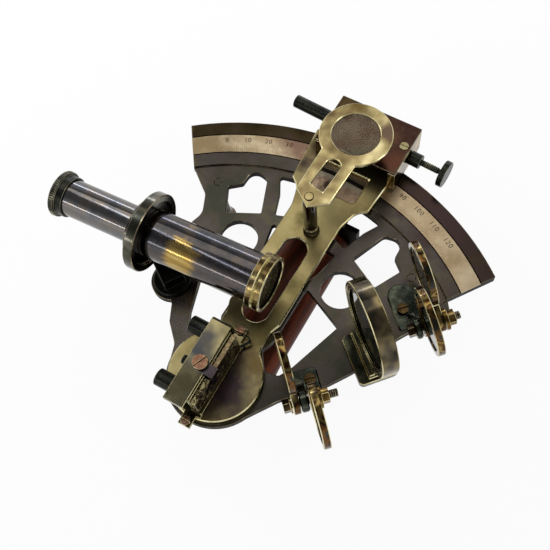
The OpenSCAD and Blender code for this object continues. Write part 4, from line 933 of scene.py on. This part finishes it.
# %% [markdown]
# Bent black wire holds the mirror's upper ear down. A wire's path is an open row of points; the tree
# turns it into a curve, rounds the bends as pliers would and gives it the wire's thickness.

# %% Wires on the mirror's ear
wires, size, out = tree_with("wires", [
    ("Geometry", GEOMETRY), ("Bend", FLOAT), ("Radius", FLOAT), ("Finish", FINISH)])
path = add(wires, "GeometryNodeMeshToCurve", Mesh=size["Geometry"])
bent = add(wires, "GeometryNodeFilletCurve", Curve=path.outputs[0], Radius=size["Bend"], Limit_Radius=True)
section = add(wires, "GeometryNodeCurvePrimitiveCircle", Resolution=10, Radius=size["Radius"])
drawn = add(wires, "GeometryNodeCurveToMesh", Curve=bent.outputs[0], Profile_Curve=section.outputs[0],
            Fill_Caps=True)
real = add(wires, "GeometryNodeRealizeInstances", Geometry=drawn.outputs[0])
finished = add(wires, "GeometryNodeSetMaterial", Geometry=real.outputs[0], Material=size["Finish"])
wires.links.new(finished.outputs[0], out.inputs[0])


def wire(name, points, radius, bend):
    """A black wire on the arm, through points in mm above the frame's face."""
    verts = [(x * MM, y * MM, FACE + z * MM) for x, y, z in points]
    edges = [(i, i + 1) for i in range(len(points) - 1)]
    return grow(name, wires, {"Bend": bend * MM, "Radius": radius * MM, "Finish": black_metal}, "arm",
                (verts, edges))


wire("ear_wire", [(-3.0, 17.3, 4.6), (2.4, 14.1, 4.4), (2.5, 12.5, 4.5)], 0.33, 0.6)
wire("ear_hook", [(-2.4, 18.5, 5.0), (4.0, 19.0, 4.9), (5.8, 17.9, 4.8)], 0.3, 0.6)
wire("ear_bar", [(5.9, 17.8, 4.6), (2.5, 12.5, 4.5)], 0.6, 0.1)

# %% [markdown]
# The eyepiece's rim is knurled for a good hold: a ring of small straight ridges, rolled into the
# metal with a wheel. One ridge is a square bar turned on its corner, so that a sharp edge points
# outwards, and the tree sets 64 of them round the rim.

# %% Knurling
knurls, size, out = tree_with("knurls", [
    ("Count", COUNT), ("Radius", FLOAT), ("Length", FLOAT), ("Ridge", FLOAT), ("Place", VECTOR),
    ("Turn", VECTOR), ("Finish", FINISH)])
ring = add(knurls, "GeometryNodeMeshCircle", Vertices=size["Count"], Radius=size["Radius"])
index = add(knurls, "GeometryNodeInputIndex").outputs[0]
share = add(knurls, "ShaderNodeMath", {"operation": "DIVIDE"}, i0=index, i1=size["Count"])
around = add(knurls, "ShaderNodeMath", {"operation": "MULTIPLY"}, i0=share.outputs[0], i1=2 * math.pi)
facing = add(knurls, "ShaderNodeCombineXYZ", i2=around.outputs[0])
rib_size = add(knurls, "ShaderNodeCombineXYZ", i0=size["Ridge"], i1=size["Ridge"], i2=size["Length"])
rib = add(knurls, "GeometryNodeMeshCube", Size=rib_size.outputs[0])
tipped = add(knurls, "GeometryNodeTransform", Geometry=rib.outputs[0], Rotation=(0, 0, math.pi / 4))
ribs = add(knurls, "GeometryNodeInstanceOnPoints", Points=ring.outputs[0], Instance=tipped.outputs[0],
           Rotation=facing.outputs[0])
laid = add(knurls, "GeometryNodeTransform", Geometry=ribs.outputs[0], Translation=size["Place"],
           Rotation=size["Turn"])
real = add(knurls, "GeometryNodeRealizeInstances", Geometry=laid.outputs[0])
finished = add(knurls, "GeometryNodeSetMaterial", Geometry=real.outputs[0], Material=size["Finish"])
knurls.links.new(finished.outputs[0], out.inputs[0])

rim_at = ring_front - sight * 43.4 * MM
grow("eyepiece_knurls", knurls, {
    "Count": 64, "Radius": 9.42 * MM, "Length": 1.9 * MM, "Ridge": 0.42 * MM, "Place": rim_at,
    "Turn": sight.to_track_quat("Z", "Y").to_euler(), "Finish": black_edge}, "eyepiece")

# %% [markdown]
# The instrument stands on pale paint. The floor is white where the camera, a glossy face or a lens
# looks at it, yet it keeps the object's shadow, because a share of it is plain diffuse paint. That
# is done in its material, so no lamp has to be turned up for a white background.

# %% Floor
FLOOR_REACH = 6.0
WHITE_SHARE = 0.92
corners = [(-FLOOR_REACH, -FLOOR_REACH, 0), (FLOOR_REACH, -FLOOR_REACH, 0), (FLOOR_REACH, FLOOR_REACH, 0),
           (-FLOOR_REACH, FLOOR_REACH, 0)]
floor_mesh = bpy.data.meshes.new("floor")
floor_mesh.from_pydata(corners, [], [(0, 1, 2, 3)])
floor = put("floor", floor_mesh)
floor_paint, tree, paint = blank("pale_floor_paint", Base_Color=linear("#f4f4f2"), Roughness=0.9)
ray = add(tree, "ShaderNodeLightPath")
seen = add(tree, "ShaderNodeMath", {"operation": "MAXIMUM"}, i0=ray.outputs["Is Camera Ray"],
           i1=ray.outputs["Is Glossy Ray"])
seen = add(tree, "ShaderNodeMath", {"operation": "MAXIMUM"}, i0=seen.outputs[0],
           i1=ray.outputs["Is Transmission Ray"])
white_share = add(tree, "ShaderNodeMath", {"operation": "MULTIPLY"}, i0=seen.outputs[0], i1=WHITE_SHARE)
white = add(tree, "ShaderNodeEmission", Color=(1, 1, 1, 1), Strength=1.0)
both = add(tree, "ShaderNodeMixShader", i0=white_share.outputs[0], i1=paint.outputs[0], i2=white.outputs[0])
tree.links.new(both.outputs[0], tree.nodes["Material Output"].inputs["Surface"])
floor_mesh.materials.append(floor_paint)
print("the floor is", 2 * FLOOR_REACH, "m wide")

# %% [markdown]
# Round the table hangs a white tent that is brighter near the horizon than overhead. Upright faces
# then look light and level ones keep their dark tone, as in the photograph. One gradient on the
# world's height does it.

# %% World
world = bpy.data.worlds.new("studio")
bpy.context.scene.world = world
world.use_nodes = True
sky = world.node_tree
tent_cloth = sky.nodes["Background"]
tent_cloth.inputs["Color"].default_value = linear("#f6f7fa")
way = add(sky, "ShaderNodeTexCoord").outputs["Generated"]
height = add(sky, "ShaderNodeSeparateXYZ", i0=way).outputs["Z"]
tent = add(sky, "ShaderNodeMapRange", Value=height, From_Min=0.15, From_Max=0.75, To_Min=1.3, To_Max=0.22)
sky.links.new(tent.outputs[0], tent_cloth.inputs["Strength"])
print("the world is", world.name)

# %% [markdown]
# Metal looks like what it reflects, so the lamps are placed for their reflections. Soft boxes stand
# overhead, to the left and to the right for the flat faces, and three narrow strips lie along the
# telescope, each for one bright streak on its tube.


# %% Lamps
def soft_box(name, place, aim, width, depth, watts, colour="#ffffff"):
    lamp = bpy.data.lights.new(name, "AREA")
    lamp.shape = "RECTANGLE"
    lamp.size = width
    lamp.size_y = depth
    lamp.energy = watts
    lamp.color = linear(colour)[:3]
    away = Vector(place) - Vector(aim)
    turn = away.to_track_quat("Z", "Y").to_matrix().to_4x4()
    put(name, lamp).matrix_world = Matrix.Translation(place) @ turn


MIDDLE = (0.0, 0.05, 0.04)
HEAD = (-0.02, 0.06, 0.04)
TUBE = (-0.03, 0.034, 0.057)
soft_box("overhead_box", (-0.17, 0.248, 0.55), HEAD, 0.48, 0.26, 0.58, "#fffaf0")
soft_box("left_box", (-0.5, 0.1, 0.32), MIDDLE, 0.3, 0.3, 0.9)
soft_box("tube_strip_back", (-0.17, 0.48, 0.2), TUBE, 0.6, 0.04, 0.6, "#e6eeff")
soft_box("tube_strip_top", (-0.17, -0.07, 0.52), TUBE, 0.5, 0.02, 0.25, "#e6eeff")
soft_box("tube_strip_front", (-0.17, -0.4, 0.26), TUBE, 0.5, 0.025, 0.3)
soft_box("right_box", (0.45, 0.15, 0.35), MIDDLE, 0.15, 0.3, 0.35)
bpy.context.scene.view_settings.view_transform = "Standard"
print(len(bpy.data.lights), "lamps are lit")
